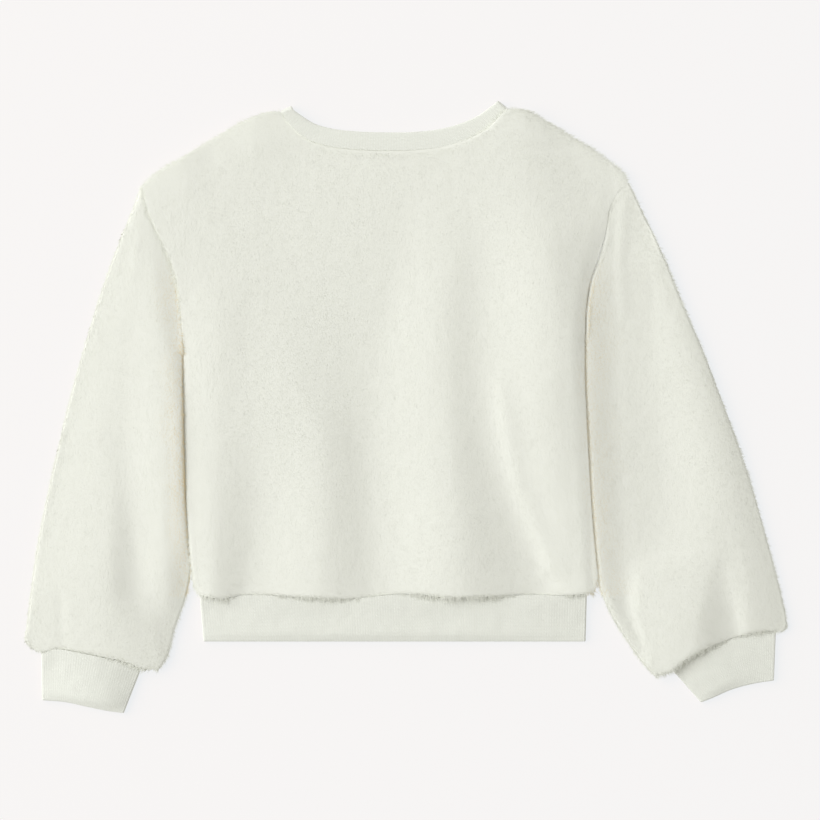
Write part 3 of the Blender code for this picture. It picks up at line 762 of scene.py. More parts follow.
# Down each tuft the colour runs from the darker root to the lighter tip: painted shade at the root.
links.new(mix_colours(nodes, links, tuft_parts.outputs["Green"], rooted, tipped),
          shader.inputs["Base Color"])
print("pile material:", len(nodes), "nodes")

# %% Backing material
CURLS = 700.0                   # curls to a metre, roughly

shell_material, nodes, links, shader = cloth_material("ivory_backing", 0.95, 0.0)
curl = nodes.new("ShaderNodeTexNoise")
curl.inputs["Scale"].default_value = CURLS
curl.inputs["Detail"].default_value = 4.0
place = nodes.new("ShaderNodeTexCoord")
links.new(place.outputs["Object"], curl.inputs["Vector"])
links.new(mix_colours(nodes, links, curl.outputs["Fac"], ROOT_COLOUR, TIP_COLOUR),
          shader.inputs["Base Color"])
add_relief(nodes, links, shader, curl.outputs["Fac"], 0.2, 0.5)
print("backing material:", len(nodes), "nodes")

# %% [markdown]
# ## The body
# The back panel lies uppermost and the front panel is under it. Between the shoulders the neck
# is scooped, and the same grid serves both panels: only the line of the neck differs. The shell
# is drawn in a little from the free sides, so that the tips of the pile, and not the backing,
# reach the outline.

# %% Grid lines of the body
STEP = 2.4                      # between the lines of a grid
LEFT_SHOULDER_SHARE, NECK_SHARE, ARMHOLE_SHARE = 0.28, 0.46, 0.38
shoulder_stops = stops(135.0, STEP, fine_first=True)
neck_stops = stops(235.0, STEP)
armhole_stops = stops(165.0, STEP, fine_first=True)
side_stops = stops(215.0, STEP, fine_last=True)
body_across = whole_edge((LEFT_SHOULDER_SHARE, shoulder_stops), (NECK_SHARE, neck_stops),
                         (1.0 - LEFT_SHOULDER_SHARE - NECK_SHARE, 1.0 - shoulder_stops[::-1]))
body_down = whole_edge((ARMHOLE_SHARE, armhole_stops), (1.0 - ARMHOLE_SHARE, side_stops))
print("body grid:", len(body_down), "by", len(body_across), "lines")


def neck_line(where, front):
    """Places along the neck seam, which is scooped lower on the front panel."""
    line = smooth_line(NECK_SEAM, where)
    if front:
        scoop = (1.0 - (2.0 * where - 1.0) ** 2) ** 1.3
        line = line - NECK_FRONT_DROP * np.outer(scoop, (0.0, 1.0))
    return line


def body_plan(front):
    """Plan of a body panel."""
    neck = neck_line(neck_stops, front)
    top = np.concatenate((smooth_line(LEFT_SHOULDER, shoulder_stops), neck[1:],
                          smooth_line(RIGHT_SHOULDER, 1.0 - shoulder_stops[::-1])[1:]))
    left = np.concatenate((smooth_line(LEFT_ARMHOLE, armhole_stops),
                           smooth_line(LEFT_SIDE, side_stops)[1:]))
    right = np.concatenate((smooth_line(RIGHT_ARMHOLE, armhole_stops),
                            smooth_line(RIGHT_SIDE, side_stops)[1:]))
    return patch(top, smooth_line(HEM_SEAM, body_across), left, right, body_across, body_down,
                 grip=4)


# %% Edges of the body
EDGE_STOPS = np.linspace(0.0, 1.0, 41)
left_side, right_side = smooth_line(LEFT_SIDE, EDGE_STOPS), smooth_line(RIGHT_SIDE, EDGE_STOPS)
left_shoulder = smooth_line(LEFT_SHOULDER, EDGE_STOPS)
right_shoulder = smooth_line(RIGHT_SHOULDER, EDGE_STOPS)
left_armhole = smooth_line(LEFT_ARMHOLE, EDGE_STOPS)
right_armhole = smooth_line(RIGHT_ARMHOLE, EDGE_STOPS)
neck_seam, hem_seam = smooth_line(NECK_SEAM, EDGE_STOPS), smooth_line(HEM_SEAM, EDGE_STOPS)
shoulders = (left_shoulder, right_shoulder)
free_sides = (left_side, right_side) + shoulders
body_seams = (left_armhole, right_armhole, neck_seam, hem_seam)

# %% Levels of the cloth
WALL = 5.0                      # backing and pile together
BACK_LEVEL = 5.3                # the back panel lies on the front panel at this height
PILE_ROOM = 1.7                 # the tips of the pile stand this far above the shell
FLOOR_CLEARANCE = 0.1           # and its lowest tips stay this far above the floor
HOLLOW_REACH = 26.0             # the cloth is hollow below its folds, but not this near an edge

# %% Folds of the back panel
BODY_FOLDS = (                  # lines from left to right, with x, y and height at each point
    ((-196, 226, 2.6), (-195, 182, 1.9), (-197, 129, 1.8), (-196, 58, 1.1), (-193, -12, 1.2),
     (-189, -82, 1.6), (-185, -135, 2.0), (-182, -170, 2.0)),
    ((-168, 226, 0.8), (-168, 182, 1.0), (-168, 129, 1.7), (-166, 76, 3.0), (-165, 23, 3.2),
     (-167, -30, 3.0), (-170, -82, 3.1), (-172, -170, 3.4)),
    ((-138, 226, 0.8), (-138, 182, 0.2), (-137, 94, 1.3), (-134, 23, 2.1), (-135, -12, 2.2),
     (-132, -47, 1.0), (-130, -82, -0.3), (-132, -118, -1.0), (-138, -170, -0.9)),
    ((-94, 226, -0.6), (-94, 182, -0.5), (-103, 129, -0.4), (-108, 76, 0.8), (-107, 23, 2.2),
     (-84, -12, 2.7), (-78, -47, 3.2), (-75, -100, 3.6), (-76, -170, 3.6)),
    ((-6, 226, 0.0), (-6, 182, -0.6), (-12, 129, -1.4), (-20, 94, -2.1), (-30, 41, -2.3),
     (-32, -12, -2.3), (-29, -82, -1.7), (-26, -170, -1.0)),
    ((29, 226, 0.5), (31, 182, 0.3), (39, 129, 1.4), (35, 94, 1.9), (34, 41, 2.9), (36, -12, 3.7),
     (39, -65, 4.7), (43, -118, 6.2), (45, -170, 5.7)),
    ((54, 226, 1.3), (55, 182, 0.9), (60, 129, 0.8), (62, 76, 0.6), (64, 23, 0.9), (68, -12, 1.0),
     (76, -47, 0.3), (89, -82, -0.4), (103, -118, -1.3), (121, -170, -2.3)),
    ((99, 226, 2.4), (108, 182, 3.0), (124, 129, 6.4), (128, 85, 7.3), (131, 50, 7.3),
     (129, -3, 7.4), (134, -47, 6.1), (139, -82, 4.6), (143, -118, 3.3), (145, -170, 1.1)),
    ((150, 226, -1.5), (162, 182, -0.8), (150, 129, 3.2), (143, 85, 6.1), (143, 23, 6.7),
     (144, -30, 6.2), (149, -82, 4.7), (157, -170, 1.8)),
    ((176, 226, -2.3), (182, 182, -2.3), (166, 129, -0.6), (157, 85, 2.6), (156, 23, 4.0),
     (157, -30, 4.3), (160, -82, 3.4), (164, -170, 1.2)),
)
BODY_STREAKS = (
    (1.2, 8.0, 10.0, 60, 20, ((80, 50), (86, -3), (93, -47), (104, -82), (120, -122), (133, -157))),
)

# %% The back panel
EDGE_DRAWN = 1.6                # the shell is drawn in by this much below loose pile
plan = body_plan(front=False)
rise = fold_heights(plan, BODY_FOLDS) + ridge_rise(plan, BODY_STREAKS)
share = all_rounded(plan, ((left_side,), 6.0, 0.2), ((left_armhole,), 4.0, 0.06),
                    (shoulders + (right_side, right_armhole), 9.0, 0.12),
                    ((neck_seam,), 4.0, 0.1), ((hem_seam,), 4.0, 0.15))
hollow = rounded(plan, free_sides + body_seams, HOLLOW_REACH, 1.0)
top = BACK_LEVEL + (WALL - PILE_ROOM + rise + lumps(plan, 11)) * share
under = BACK_LEVEL + np.maximum(rise, 0.0) * hollow
shift = all_drawn_in(plan, (shoulders, EDGE_DRAWN), ((hem_seam,), 1.2),
                     ((left_side, right_side), 0.2), ((neck_seam,), -0.3))
back_top = np.dstack((plan + shift, top))
print(f"folds of the back panel: from {rise.min():.1f} to {rise.max():.1f} mm")
back_cloth = panel_shell("back_cloth", back_top, np.dstack((plan + shift, under)),
                         body_across, body_down, shell_material)

# %% Painted warm shade in the creases
# Below this height the creases get painted warm shade.
PAINTED_SHADE_TOP = 155.0                # only below this do the creases glow warm
PAINTED_SHADE_FADE = 50.0


def shade_painted_in_creases(plan, lines, amount, reach):
    """How much warm, darker shade is painted on the pile in the creases beside some lines."""
    return amount * beside(plan, lines, reach) * soft_step((PAINTED_SHADE_TOP - plan[..., 1]) / PAINTED_SHADE_FADE)


# %% Pile of the back panel
LOOSE_RIM, CREASE_RIM = 8.0, 3.0    # how wide the loose pile is at a free edge and at a crease
RAGGED_RIM = 5.0                # and how wide the ragged pile is along a hem

over = sum(toward(plan, line, strength, reach) for line, strength, reach in (
    (left_armhole, 1.2, 5.0), (right_armhole, 2.0, 3.0), (left_side, 2.6, 3.0),
    (right_side, 2.5, 3.0), (hem_seam, 1.5, 5.0), (neck_seam, 1.8, 3.0)))
nap = unit(np.gradient(back_top, axis=0))
for line, sideways in ((left_shoulder, -1.0), (right_shoulder, 1.0)):
    outwards = (sideways, 0.5, 0.0)     # on the shoulders the nap turns over the edge
    nap = nap + 3.0 * beside(plan, (line,), 16.0)[..., None] * outwards
rim = np.maximum(beside(plan, shoulders, LOOSE_RIM),
                 beside(plan, (left_side, left_armhole, neck_seam), CREASE_RIM))
# Painted warm shade is given to the pile beside the right side and the right armhole.
back_bed = make_bed(back_top, 1.0 + 0.5 * rim, over=over, rim=rim, nap=unit(nap),
                    warmth=shade_painted_in_creases(plan, (right_side, right_armhole), 0.34, 9.0),
                    ragged=beside(plan, (hem_seam,), RAGGED_RIM))
back_pile = plant("back_pile", [comb(back_bed, 101)], pile_material)

# %% [markdown]
# ## The sleeves
# A sleeve is a tube that lies flat. Its upper layer meets the back panel at the armhole and its
# lower layer meets the front panel. Each row of its grid is a ring: across the top, round one
# fold, back along the bottom and round the other fold.

# %% Rings of a flattened tube
FOLD_POINTS = 3
FOLD_REACH = 0.7                # a pressed fold is blunter than a half circle


def flat_ring(plan, upper, lower, lower_every):
    """Rings from the plan and the heights of the two layers, with round folds between them."""
    bottom = slice(None, None, -lower_every)
    fold = []
    for edge, away in ((-1, 1.0), (0, -1.0)):
        outward = away * unit(plan[:, -1] - plan[:, 0])
        middle = 0.5 * (upper[:, edge] + lower[:, edge])
        half = 0.5 * (upper[:, edge] - lower[:, edge])
        for k in range(1, FOLD_POINTS + 1):
            angle = np.pi * k / (FOLD_POINTS + 1)
            height = middle + away * half * np.cos(angle)
            reach = np.minimum(half, FOLD_REACH) * np.sin(angle)
            fold.append(np.column_stack((plan[:, edge] + outward * reach[:, None], height)))
    right = np.stack(fold[:FOLD_POINTS], axis=1)
    left = np.stack(fold[FOLD_POINTS:], axis=1)
    top = np.dstack((plan, upper))
    under = np.dstack((plan, lower))[:, bottom]
    return np.concatenate((top, right, under, left), axis=1)


def ring_marks(across, lower_every):
    """How far round its ring each point is, from 0 to 4."""
    fold = np.arange(1, FOLD_POINTS + 1) / (FOLD_POINTS + 1)
    return np.concatenate((across, 1.0 + fold, 3.0 - across[::-lower_every], 3.0 + fold))


# %% Grid of a sleeve
LOWER_EVERY = 3                 # the lower layer has every third line of the upper one
sleeve_across = stops(125.0, STEP, fine_first=True, fine_last=True)
sleeve_down = stops(430.0, STEP, fine_first=True, fine_last=True)


def sleeve_plan(armhole, left, right, end):
    """Grid of places between the seam, the two sides and the cuff."""
    first, last = smooth_line(armhole, sleeve_across), smooth_line(end, sleeve_across)
    sides = smooth_line(left, sleeve_down), smooth_line(right, sleeve_down)
    for side, corner in zip(sides, (0, -1)):
        side[0], side[-1] = first[corner], last[corner]
    return patch(first, last, *sides, sleeve_across, sleeve_down)


def sleeve_lining(plan, hollow):
    """Coarse rings inside a sleeve, and how far round each of their points is."""
    columns = np.arange(4, len(sleeve_across) - 4, 5)
    kept = np.ix_(every_few(len(sleeve_down), 8), columns)
    upper = np.dstack((plan[kept], BACK_LEVEL + hollow[kept]))
    lower = np.dstack((plan[kept], np.full_like(hollow[kept], WALL - 0.4)))[:, ::-1]
    across = sleeve_across[columns]
    return np.concatenate((upper, lower), axis=1), np.concatenate((across, 3.0 - across[::-1]))


# %% Beds for the pile of a sleeve
BODY_END = -165.0               # below this the sleeves lie clear of the body


def sleeve_beds(outside, sides, seam, cuff, outer, tuck, warm):
    """Beds for its upper layer, with both folds, and for its lower layer."""
    size = len(sleeve_across)
    above = np.hstack((outside[:, -FOLD_POINTS:], outside[:, :size + FOLD_POINTS]))
    below = outside[:, size + FOLD_POINTS - 1:]
    plan = above[..., :2]
    free, inner = sides[outer], sides[1 - outer]
    clear = plan[..., 1] < BODY_END
    over = (toward(plan, seam, 1.0 - tuck) + toward(plan, cuff, 1.5)
            + toward(plan, free, 1.4, 4.0) + toward(plan, inner, 1.8, 3.0))
    rim = np.maximum.reduce((beside(plan, (inner, seam), CREASE_RIM),
                             beside(plan, (free,), LOOSE_RIM),
                             beside(plan, sides, LOOSE_RIM) * clear))
    thick = 1.0 + 0.5 * rim
    thick[:, :2] *= 1.5 - outer     # more tufts on the free fold, and fewer on the inner one
    thick[:, -2:] *= 0.5 + outer
    # Painted warm shade is given to the pile beside the body and the seam, where the sleeve lies by
    # the body.
    bed = make_bed(above, thick, floor=FLOOR_CLEARANCE, over=over, rim=rim,
                   warmth=shade_painted_in_creases(plan, (inner, seam), *warm) * (1.0 - clear),
                   ragged=beside(plan, (cuff,), RAGGED_RIM))
    inside = np.ones(below.shape[:2])
    inside[:, :2] = inside[:, -2:] = 0.0
    return bed, make_bed(below, inside, floor=FLOOR_CLEARANCE)


# %% A sleeve
TUCK_START = 165.0              # below this the right sleeve is tucked under the body's edge


# The pair after tuck is the warm shade painted in the creases of a sleeve: how strong it is, and
# how far it reaches.
def sleeve(name, armhole, left, right, end, outer, folds, streaks, fall, tuck, warm, seed):
    """Shell and pile of one sleeve. Its lines run from its left edge to its right edge. Outer
    is 0 if its left edge is away from the body, and 1 if its right edge is. Fall is the share
    of its height that it loses beside the body, and tuck is how far its seam is drawn in."""
    plan = sleeve_plan(armhole, left, right, end)
    sides = (smooth_line(left, EDGE_STOPS), smooth_line(right, EDGE_STOPS))
    seam, cuff = smooth_line(armhole, EDGE_STOPS), smooth_line(end, EDGE_STOPS)
    free, inner = sides[outer], sides[1 - outer]
    share = all_rounded(plan, ((free,), 10.0, 0.2), ((inner,), 8.0, fall),
                        ((seam,), 4.0, 0.06), ((cuff,), 5.0, 0.15))
    rise = fold_heights(plan, folds) + ridge_rise(plan, streaks)
    upper = BACK_LEVEL + (WALL - PILE_ROOM + rise + lumps(plan, seed)) * share
    lower = 1.0 + 2.0 * (1.0 - rounded(plan, sides, 9.0, 1.0))
    hollow = np.maximum(rise, 0.0) * rounded(plan, sides + (seam, cuff), HOLLOW_REACH, 1.0)
    tucked = soft_step((TUCK_START - plan[..., 1:]) / 20.0)
    shift = all_drawn_in(plan, ((free,), EDGE_DRAWN), ((inner,), -0.5), ((cuff,), 1.2))
    shift = shift + draw_in(plan, seam, tuck) * tucked
    outside = flat_ring(plan + shift, upper, lower, LOWER_EVERY)
    lining, lining_marks = sleeve_lining(plan + shift, hollow)
    cloth = tube_shell(name + "_cloth", outside, lining, ring_marks(sleeve_across, LOWER_EVERY),
                       lining_marks, shell_material)
    bed, ground = sleeve_beds(outside, sides, seam, cuff, outer, tuck, warm)
    tufts = [comb(bed, seed + 2), comb(ground, seed + 3, 0.26, 2.0, PRESSED_LEAN)]
    return cloth, plant(name + "_pile", tufts, pile_material)


# %% The left sleeve
LEFT_SLEEVE_FOLDS = (           # from its outer edge to the body
    ((-240, 190, 0.1), (-262, 111, -0.3), (-288, 23, -0.8), (-311, -82, -0.9), (-327, -170, 1.4),
     (-332, -223, -1.6)),
    ((-232, 190, 0.8), (-246, 129, 0.5), (-254, 76, 0.9), (-260, 23, 1.2), (-261, -21, 1.5),
     (-260, -65, 1.8), (-263, -118, 3.3), (-265, -162, 4.8), (-263, -223, 2.4)),
    ((-229, 190, 0.5), (-237, 129, 1.3), (-240, 76, 1.6), (-246, 23, 1.8), (-251, -21, 1.6),
     (-248, -65, 1.3), (-240, -109, 0.6), (-235, -153, 0.0), (-225, -192, 0.4), (-218, -232, -1.6)),
    ((-226, 190, 0.2), (-226, 129, 1.4), (-219, 76, 2.8), (-211, 23, 4.3), (-212, -21, 5.0),
     (-210, -65, 4.6), (-210, -109, 3.0), (-214, -153, 1.6), (-214, -188, -1.2),
     (-209, -232, -2.8)),
    ((-223, 190, 0.3), (-207, 129, -0.5), (-202, 76, 0.6), (-199, 23, 3.4), (-198, -21, 4.9),
     (-196, -65, 4.4), (-194, -118, 2.0), (-195, -153, -1.4), (-200, -188, -3.4),
     (-204, -232, -3.4)),
)
LEFT_SLEEVE_STREAKS = (
    (-0.5, 5.0, 5.0, 30, 0, ((-306, -150), (-302, -216))),
)
left_sleeve_cloth, left_sleeve_pile = sleeve(
    "left_sleeve", LEFT_ARMHOLE, LEFT_SLEEVE_OUTER, LEFT_SLEEVE_INNER, LEFT_SLEEVE_END, outer=0,
    folds=LEFT_SLEEVE_FOLDS, streaks=LEFT_SLEEVE_STREAKS, fall=0.26, tuck=0.0,
    warm=(0.52, 19.0), seed=211)

# %% The right sleeve
RIGHT_SLEEVE_FOLDS = (          # from the body to its outer edge
    ((189, 190, -2.6), (180, 164, -2.2), (171, 129, -1.6), (161, 94, 0.9), (159, 41, 2.4),
     (161, -12, 2.8), (164, -65, 2.8), (168, -118, 1.8), (173, -153, 1.2), (184, -179, 0.8),
     (205, -219, 0.9)),
    ((193, 190, -2.5), (192, 164, -2.5), (192, 129, -2.6), (188, 94, -2.4), (187, 41, -2.0),
     (188, -12, -1.9), (192, -65, -1.9), (194, -118, -1.9), (192, -153, -1.4), (194, -179, -0.3),
     (209, -219, 1.5)),
    ((200, 190, -2.2), (205, 164, -2.6), (210, 129, -2.5), (214, 94, -2.9), (212, 58, -2.7),
     (214, 6, -2.7), (220, -47, -3.1), (221, -82, -2.8), (215, -126, -1.9), (208, -153, 0.6),
     (205, -179, 1.6), (215, -219, 2.6)),
    ((205, 190, -1.6), (212, 164, -2.2), (221, 129, -2.0), (231, 94, -2.1), (243, 58, -0.6),
     (258, 6, 0.6), (270, -47, 1.2), (275, -82, 1.1), (270, -126, 1.4), (259, -157, 3.0),
     (253, -184, 4.7), (249, -219, 4.4)),
    ((207, 190, -1.1), (214, 164, -1.2), (224, 129, -1.9), (236, 94, -2.1), (249, 58, -0.8),
     (266, 6, 0.3), (277, -47, 0.9), (285, -82, 0.7), (282, -126, 1.0), (281, -153, 0.8),
     (286, -179, -0.5), (291, -210, -2.3)),
    ((208, 190, -0.9), (216, 164, -0.9), (227, 129, -1.7), (240, 94, -2.1), (252, 58, -1.0),
     (270, 6, -0.1), (282, -47, 0.3), (291, -82, -0.0), (293, -126, 0.6), (295, -153, 1.1),
     (298, -179, 1.0), (302, -210, -1.0)),
    ((209, 190, -1.1), (219, 164, -1.3), (230, 129, -1.7), (244, 94, -2.3), (257, 58, -1.5),
     (278, 6, -1.1), (297, -47, -2.2), (307, -82, -2.9), (320, -126, -3.4), (327, -153, -3.4),
     (333, -179, -3.4), (334, -210, -3.4)),
)
RIGHT_SLEEVE_STREAKS = (
    (0.6, 5.0, 6.0, 20, 70, ((192, 192), (188, 129), (189, 94), (193, 50))),
)
right_sleeve_cloth, right_sleeve_pile = sleeve(
    "right_sleeve", RIGHT_ARMHOLE[::-1], RIGHT_SLEEVE_INNER, RIGHT_SLEEVE_OUTER,
    RIGHT_SLEEVE_END[::-1], outer=1, folds=RIGHT_SLEEVE_FOLDS, streaks=RIGHT_SLEEVE_STREAKS,
    fall=0.1, tuck=1.0, warm=(0.42, 28.0), seed=311)

# %% [markdown]
# ## The front panel
# It lies on the floor under the back panel, so only its rounded sides show. Its pile is pressed
# flat below, where it rests.

# %% The front panel and its pile
plan = body_plan(front=True)
share = rounded(plan, free_sides, 9.0, 0.75)
low = 1.0 + (WALL - 1.0) * (1.0 - share)
shift = all_drawn_in(plan, (shoulders + (hem_seam,), EDGE_DRAWN),
                     ((left_side, right_side, right_armhole), -0.9))
front_under = np.dstack((plan + shift, low))[::2, ::2]
front_top = np.dstack((plan + shift, np.full_like(low, WALL)))[::2, ::2]
front_cloth = panel_shell("front_cloth", front_under, front_top, body_across[::2],
                          body_down[::2], shell_material)
inside = np.zeros(front_under.shape[:2])
inside[1:-1, 1:-1] = 1.0
front_bed = make_bed(front_under[:, ::-1], inside, floor=FLOOR_CLEARANCE)
front_pile = plant("front_pile", [comb(front_bed, 401, 0.4, 1.6, PRESSED_LEAN)], pile_material)

# %% [markdown]
# ## Rib
# The bands are rib knit, folded double along their free edge. Rib has raised columns of
# stitches with narrow valleys between them, at a pitch of a little over two millimetres. Bump
# alone would leave their edges smooth, so the columns are in the mesh, and only the single
# stitches are bump in the material.

# %% Rib material
RIB_COLOUR = (0.847, 0.862, 0.787, 1.0)
# Painted shade: the valleys between the ribs are painted darker than their crests.
RIB_VALLEY_SHADE = (0.827, 0.837, 0.753, 1.0)
STITCH = 1.25                   # length of one stitch along a rib
STITCH_SLANT = 1.1              # its two legs run down by this many stitches across half a rib

rib_material, nodes, links, shader = cloth_material("ivory_rib", 0.85, 0.1)
lay_of_rib = nodes.new("ShaderNodeUVMap")
lay_of_rib.uv_map = "knit"
axes = nodes.new("ShaderNodeSeparateXYZ")
links.new(lay_of_rib.outputs["UV"], axes.inputs["Vector"])


def sum_node(operation, first, second=None):
    """A Math node with sockets or plain numbers on its inputs."""
    node = nodes.new("ShaderNodeMath")
    node.operation = operation
    for socket, value in zip(node.inputs, (first, second)):
        if isinstance(value, float):
            socket.default_value = value
        elif value is not None:
            links.new(value, socket)
    return node.outputs[0]


across_rib = sum_node("FRACT", axes.outputs["X"])
from_middle = sum_node("ABSOLUTE", sum_node("SUBTRACT", across_rib, 0.5))
along_rib = sum_node("DIVIDE", axes.outputs["Y"], STITCH)
slanted = sum_node("ADD", along_rib, sum_node("MULTIPLY", from_middle, STITCH_SLANT))
loops = sum_node("SINE", sum_node("MULTIPLY", slanted, float(2.0 * np.pi)))
add_relief(nodes, links, shader, loops, 0.5, 0.2)
# The valleys between the ribs are painted darker: painted shade.
links.new(mix_colours(nodes, links, sum_node("MULTIPLY", from_middle, 1.6), RIB_COLOUR,
                      RIB_VALLEY_SHADE), shader.inputs["Base Color"])

# %% Shape of a rib
RIB_PITCH = 2.3
RIB_RELIEF = 0.11
RIB_PHASES = np.array((0.0, 0.2, 0.38, 0.5, 0.62, 0.8))   # the valley is at 0


def rib_height(turns):
    """Outline of the ribs: round columns with narrow valleys."""
    return RIB_RELIEF * (np.abs(np.sin(np.pi * turns)) ** 0.6 - 0.6)


def add_knit_map(made, around, along):
    """Map of the rib: columns counted across it, and millimetres along it."""
    layer = made.data.uv_layers.new(name="knit")
    vertex = np.empty(len(made.data.loops), np.int32)
    made.data.loops.foreach_get("vertex_index", vertex)
    layer.uv.foreach_set("vector", np.column_stack((around[vertex], along[vertex]))
                         .astype(np.float32).ravel())


# %% Round a flattened tube of rib
RIB_HALF = 1.2                  # half the thickness of the folded rib
RIB_MIDDLE = 2.55               # height of the fold at each side of the tube
RIB_FOLD = 1.35                 # the two layers lie this far above and below that
RIB_PRESS = 0.5                 # a pressed fold is this share as wide as a half circle


def tube_places(width):
    """Ribs round a tube, starting above its left fold: how many have passed at each place, how
    far round and how far across that is, its angle from straight up, and the whole way round."""
    fold = RIB_PRESS * RIB_FOLD
    flat_part = width - 2.0 * fold
    arc = np.pi * RIB_FOLD
    whole = 2.0 * flat_part + 2.0 * arc
    count = int(round(whole / RIB_PITCH))
    turns = (np.arange(count)[:, None] + RIB_PHASES).ravel()
    s = turns / count * whole
    parts = [(s >= flat_part) & (s < flat_part + arc),
             (s >= flat_part + arc) & (s < 2.0 * flat_part + arc), s >= 2.0 * flat_part + arc]
    angle = np.select(parts, [(s - flat_part) / RIB_FOLD, np.pi,
                              np.pi + (s - 2.0 * flat_part - arc) / RIB_FOLD], 0.0)
    x = np.select(parts, [width - fold, width - fold - (s - flat_part - arc), fold], fold + s)
    return turns, s, x + fold * np.sin(angle), angle, whole


# %% Plan and crown of a band
EDGE_POINTS = 200
EDGE_PLACES = np.linspace(0.0, 1.0, EDGE_POINTS)
CROWN_FADE = 7.0                # the crown dies away this near the free edge
SEAM_REACH = 12.0               # how far from the seam the form there changes to the puff


def between(seam_edge, free_edge, across, down):
    """Places of a band, at shares of the way across it and down from its seam."""
    seam_at, free_at = (np.column_stack([np.interp(across, EDGE_PLACES, edge[:, k])
                                         for k in (0, 1)]) for edge in (seam_edge, free_edge))
    down = down[:, None, None]
    return (1.0 - down) * seam_at + down * free_at


def crown(x, width, from_free, depth, at_seam, puff):
    """How far the upper layer rises, from its rise at the seam and its puff below that."""
    rises = []
    for heights in (at_seam, puff):
        even = np.linspace(0.0, width, len(heights))
        line = smooth_line(np.column_stack((even, heights)), EDGE_PLACES)
        rises.append(np.interp(x, line[:, 0], line[:, 1]))
    near_seam = np.exp(-((depth - from_free) / SEAM_REACH) ** 2)[:, None]
    rise = near_seam * rises[0] + (1.0 - near_seam) * rises[1]
    return rise * soft_step(from_free / CROWN_FADE)[:, None]


# %% A band
TUCKED_IN = 0.7                 # a band starts this far under the pile of the fleece
FLAT_ROWS, FLAT_END = 16, 2.0   # rows from the seam to this near the free edge
ROUND_ROWS = (1.2, 0.7, 0.35, 0.1, 0.0)     # and the rows round it, by their distance from it
LINING_ROWS = [0, 8, 17, 19]
LOWEST = 0.05                   # nothing of a band lies nearer the floor than this


def rib_tube(name, seam_points, span, free_points, seed, at_seam, puff):
    """Two layers of rib with ribs all round, from the fleece seam to the free edge. At_seam and
    puff are how far the upper layer rises there and between, at even steps across it."""
    seam_edge = smooth_line(seam_points, np.linspace(*span, EDGE_POINTS))
    seam_edge = seam_edge + TUCKED_IN * to_the_left(seam_edge)
    free_edge = smooth_line(free_points, EDGE_PLACES)
    width = np.linalg.norm(np.diff(seam_edge, axis=0), axis=1).sum()
    depth = np.linalg.norm(seam_edge[EDGE_POINTS // 2] - free_edge[EDGE_POINTS // 2])
    turns, s, x, angle, whole = tube_places(width)
    from_free = np.concatenate((np.linspace(depth, FLAT_END, FLAT_ROWS), ROUND_ROWS))
    plan = between(seam_edge, free_edge, np.clip(x / width, 0.0, 1.0), 1.0 - from_free / depth)

    sideways = unit(free_edge[-1] - free_edge[0] + seam_edge[-1] - seam_edge[0])
    out = np.dstack((np.broadcast_to((RIB_PRESS * np.sin(angle))[None, :, None] * sideways,
                                     plan.shape),
                     np.broadcast_to(np.cos(angle), plan.shape[:2])))
    upper = np.clip(np.cos(angle), 0.0, 1.0)
    wrinkle = 0.45 * mottle(plan, (28.0, 11.0), seed) + 0.15 * mottle(plan, 7.0, seed + 1)
    wrinkle = wrinkle * np.clip(from_free / 8.0, 0.0, 1.0)[:, None]
    lift = upper * (wrinkle + crown(x, width, from_free, depth, at_seam, puff))
    middle = np.dstack((plan, RIB_MIDDLE + RIB_FOLD * np.cos(angle) + lift))
    half = np.sqrt(RIB_HALF ** 2 - np.clip(RIB_HALF - from_free, 0.0, None) ** 2)[:, None]
    ribs = rib_height(turns)[None, :] * np.clip(half / RIB_HALF, 0.35, 1.0)
    outside = middle + out * (half + ribs)[..., None]
    outside[..., 2] = np.maximum(outside[..., 2], LOWEST)
    lining = (middle - out * half[..., None])[LINING_ROWS, ::3]
    made = tube_shell(name, outside, lining, s / whole, s[::3] / whole, rib_material)
    add_knit_map(made, np.append(np.tile(turns, len(outside)), np.tile(turns[::3], len(lining))),
                 np.append(np.repeat(from_free, turns.size),
                           np.repeat(from_free[LINING_ROWS], turns[::3].size)))
    print(f"  {turns.size // RIB_PHASES.size} ribs, {whole:.0f} mm round and {depth:.0f} mm deep")
    return made, (whole * MM, depth * MM)


# %% The hem band and the cuffs
# rises of the upper layer in millimetres, from the left end of each band to its right end
HEM_AT_SEAM = (3.0, 2.6, 3.5, 3.0, 3.0, 3.5, 3.3, 2.5, 2.4, 2.8, 1.8)
HEM_PUFF = (0.6, 1.7, 2.1, 2.2, 2.2, 2.2, 2.2, 2.1, 2.0, 1.5, 0.4)
LEFT_CUFF_AT_SEAM = (2.6, 3.8, 4.8, 5.6, 5.9, 5.5, 4.2, 2.4, 0.8)
LEFT_CUFF_PUFF = (0.0, 1.0, 2.4, 3.6, 4.4, 4.6, 4.2, 2.6, 0.2)
RIGHT_CUFF_AT_SEAM = (0.6, 1.2, 1.4, 1.4, 1.2, 1.0, 0.8, 0.6, 0.3)
RIGHT_CUFF_PUFF = (0.0, 1.2, 1.8, 1.8, 1.6, 1.2, 0.8, 0.4, 0.0)
hem_band_rib, hem_size = rib_tube("hem_band_rib", HEM_SEAM, HEM_SPAN, HEM_FREE, 511,
                                  HEM_AT_SEAM, HEM_PUFF)
left_cuff_rib, left_cuff_size = rib_tube(
    "left_cuff_rib", LEFT_SLEEVE_END, LEFT_CUFF_SPAN, LEFT_CUFF_FREE, 521,
    LEFT_CUFF_AT_SEAM, LEFT_CUFF_PUFF)
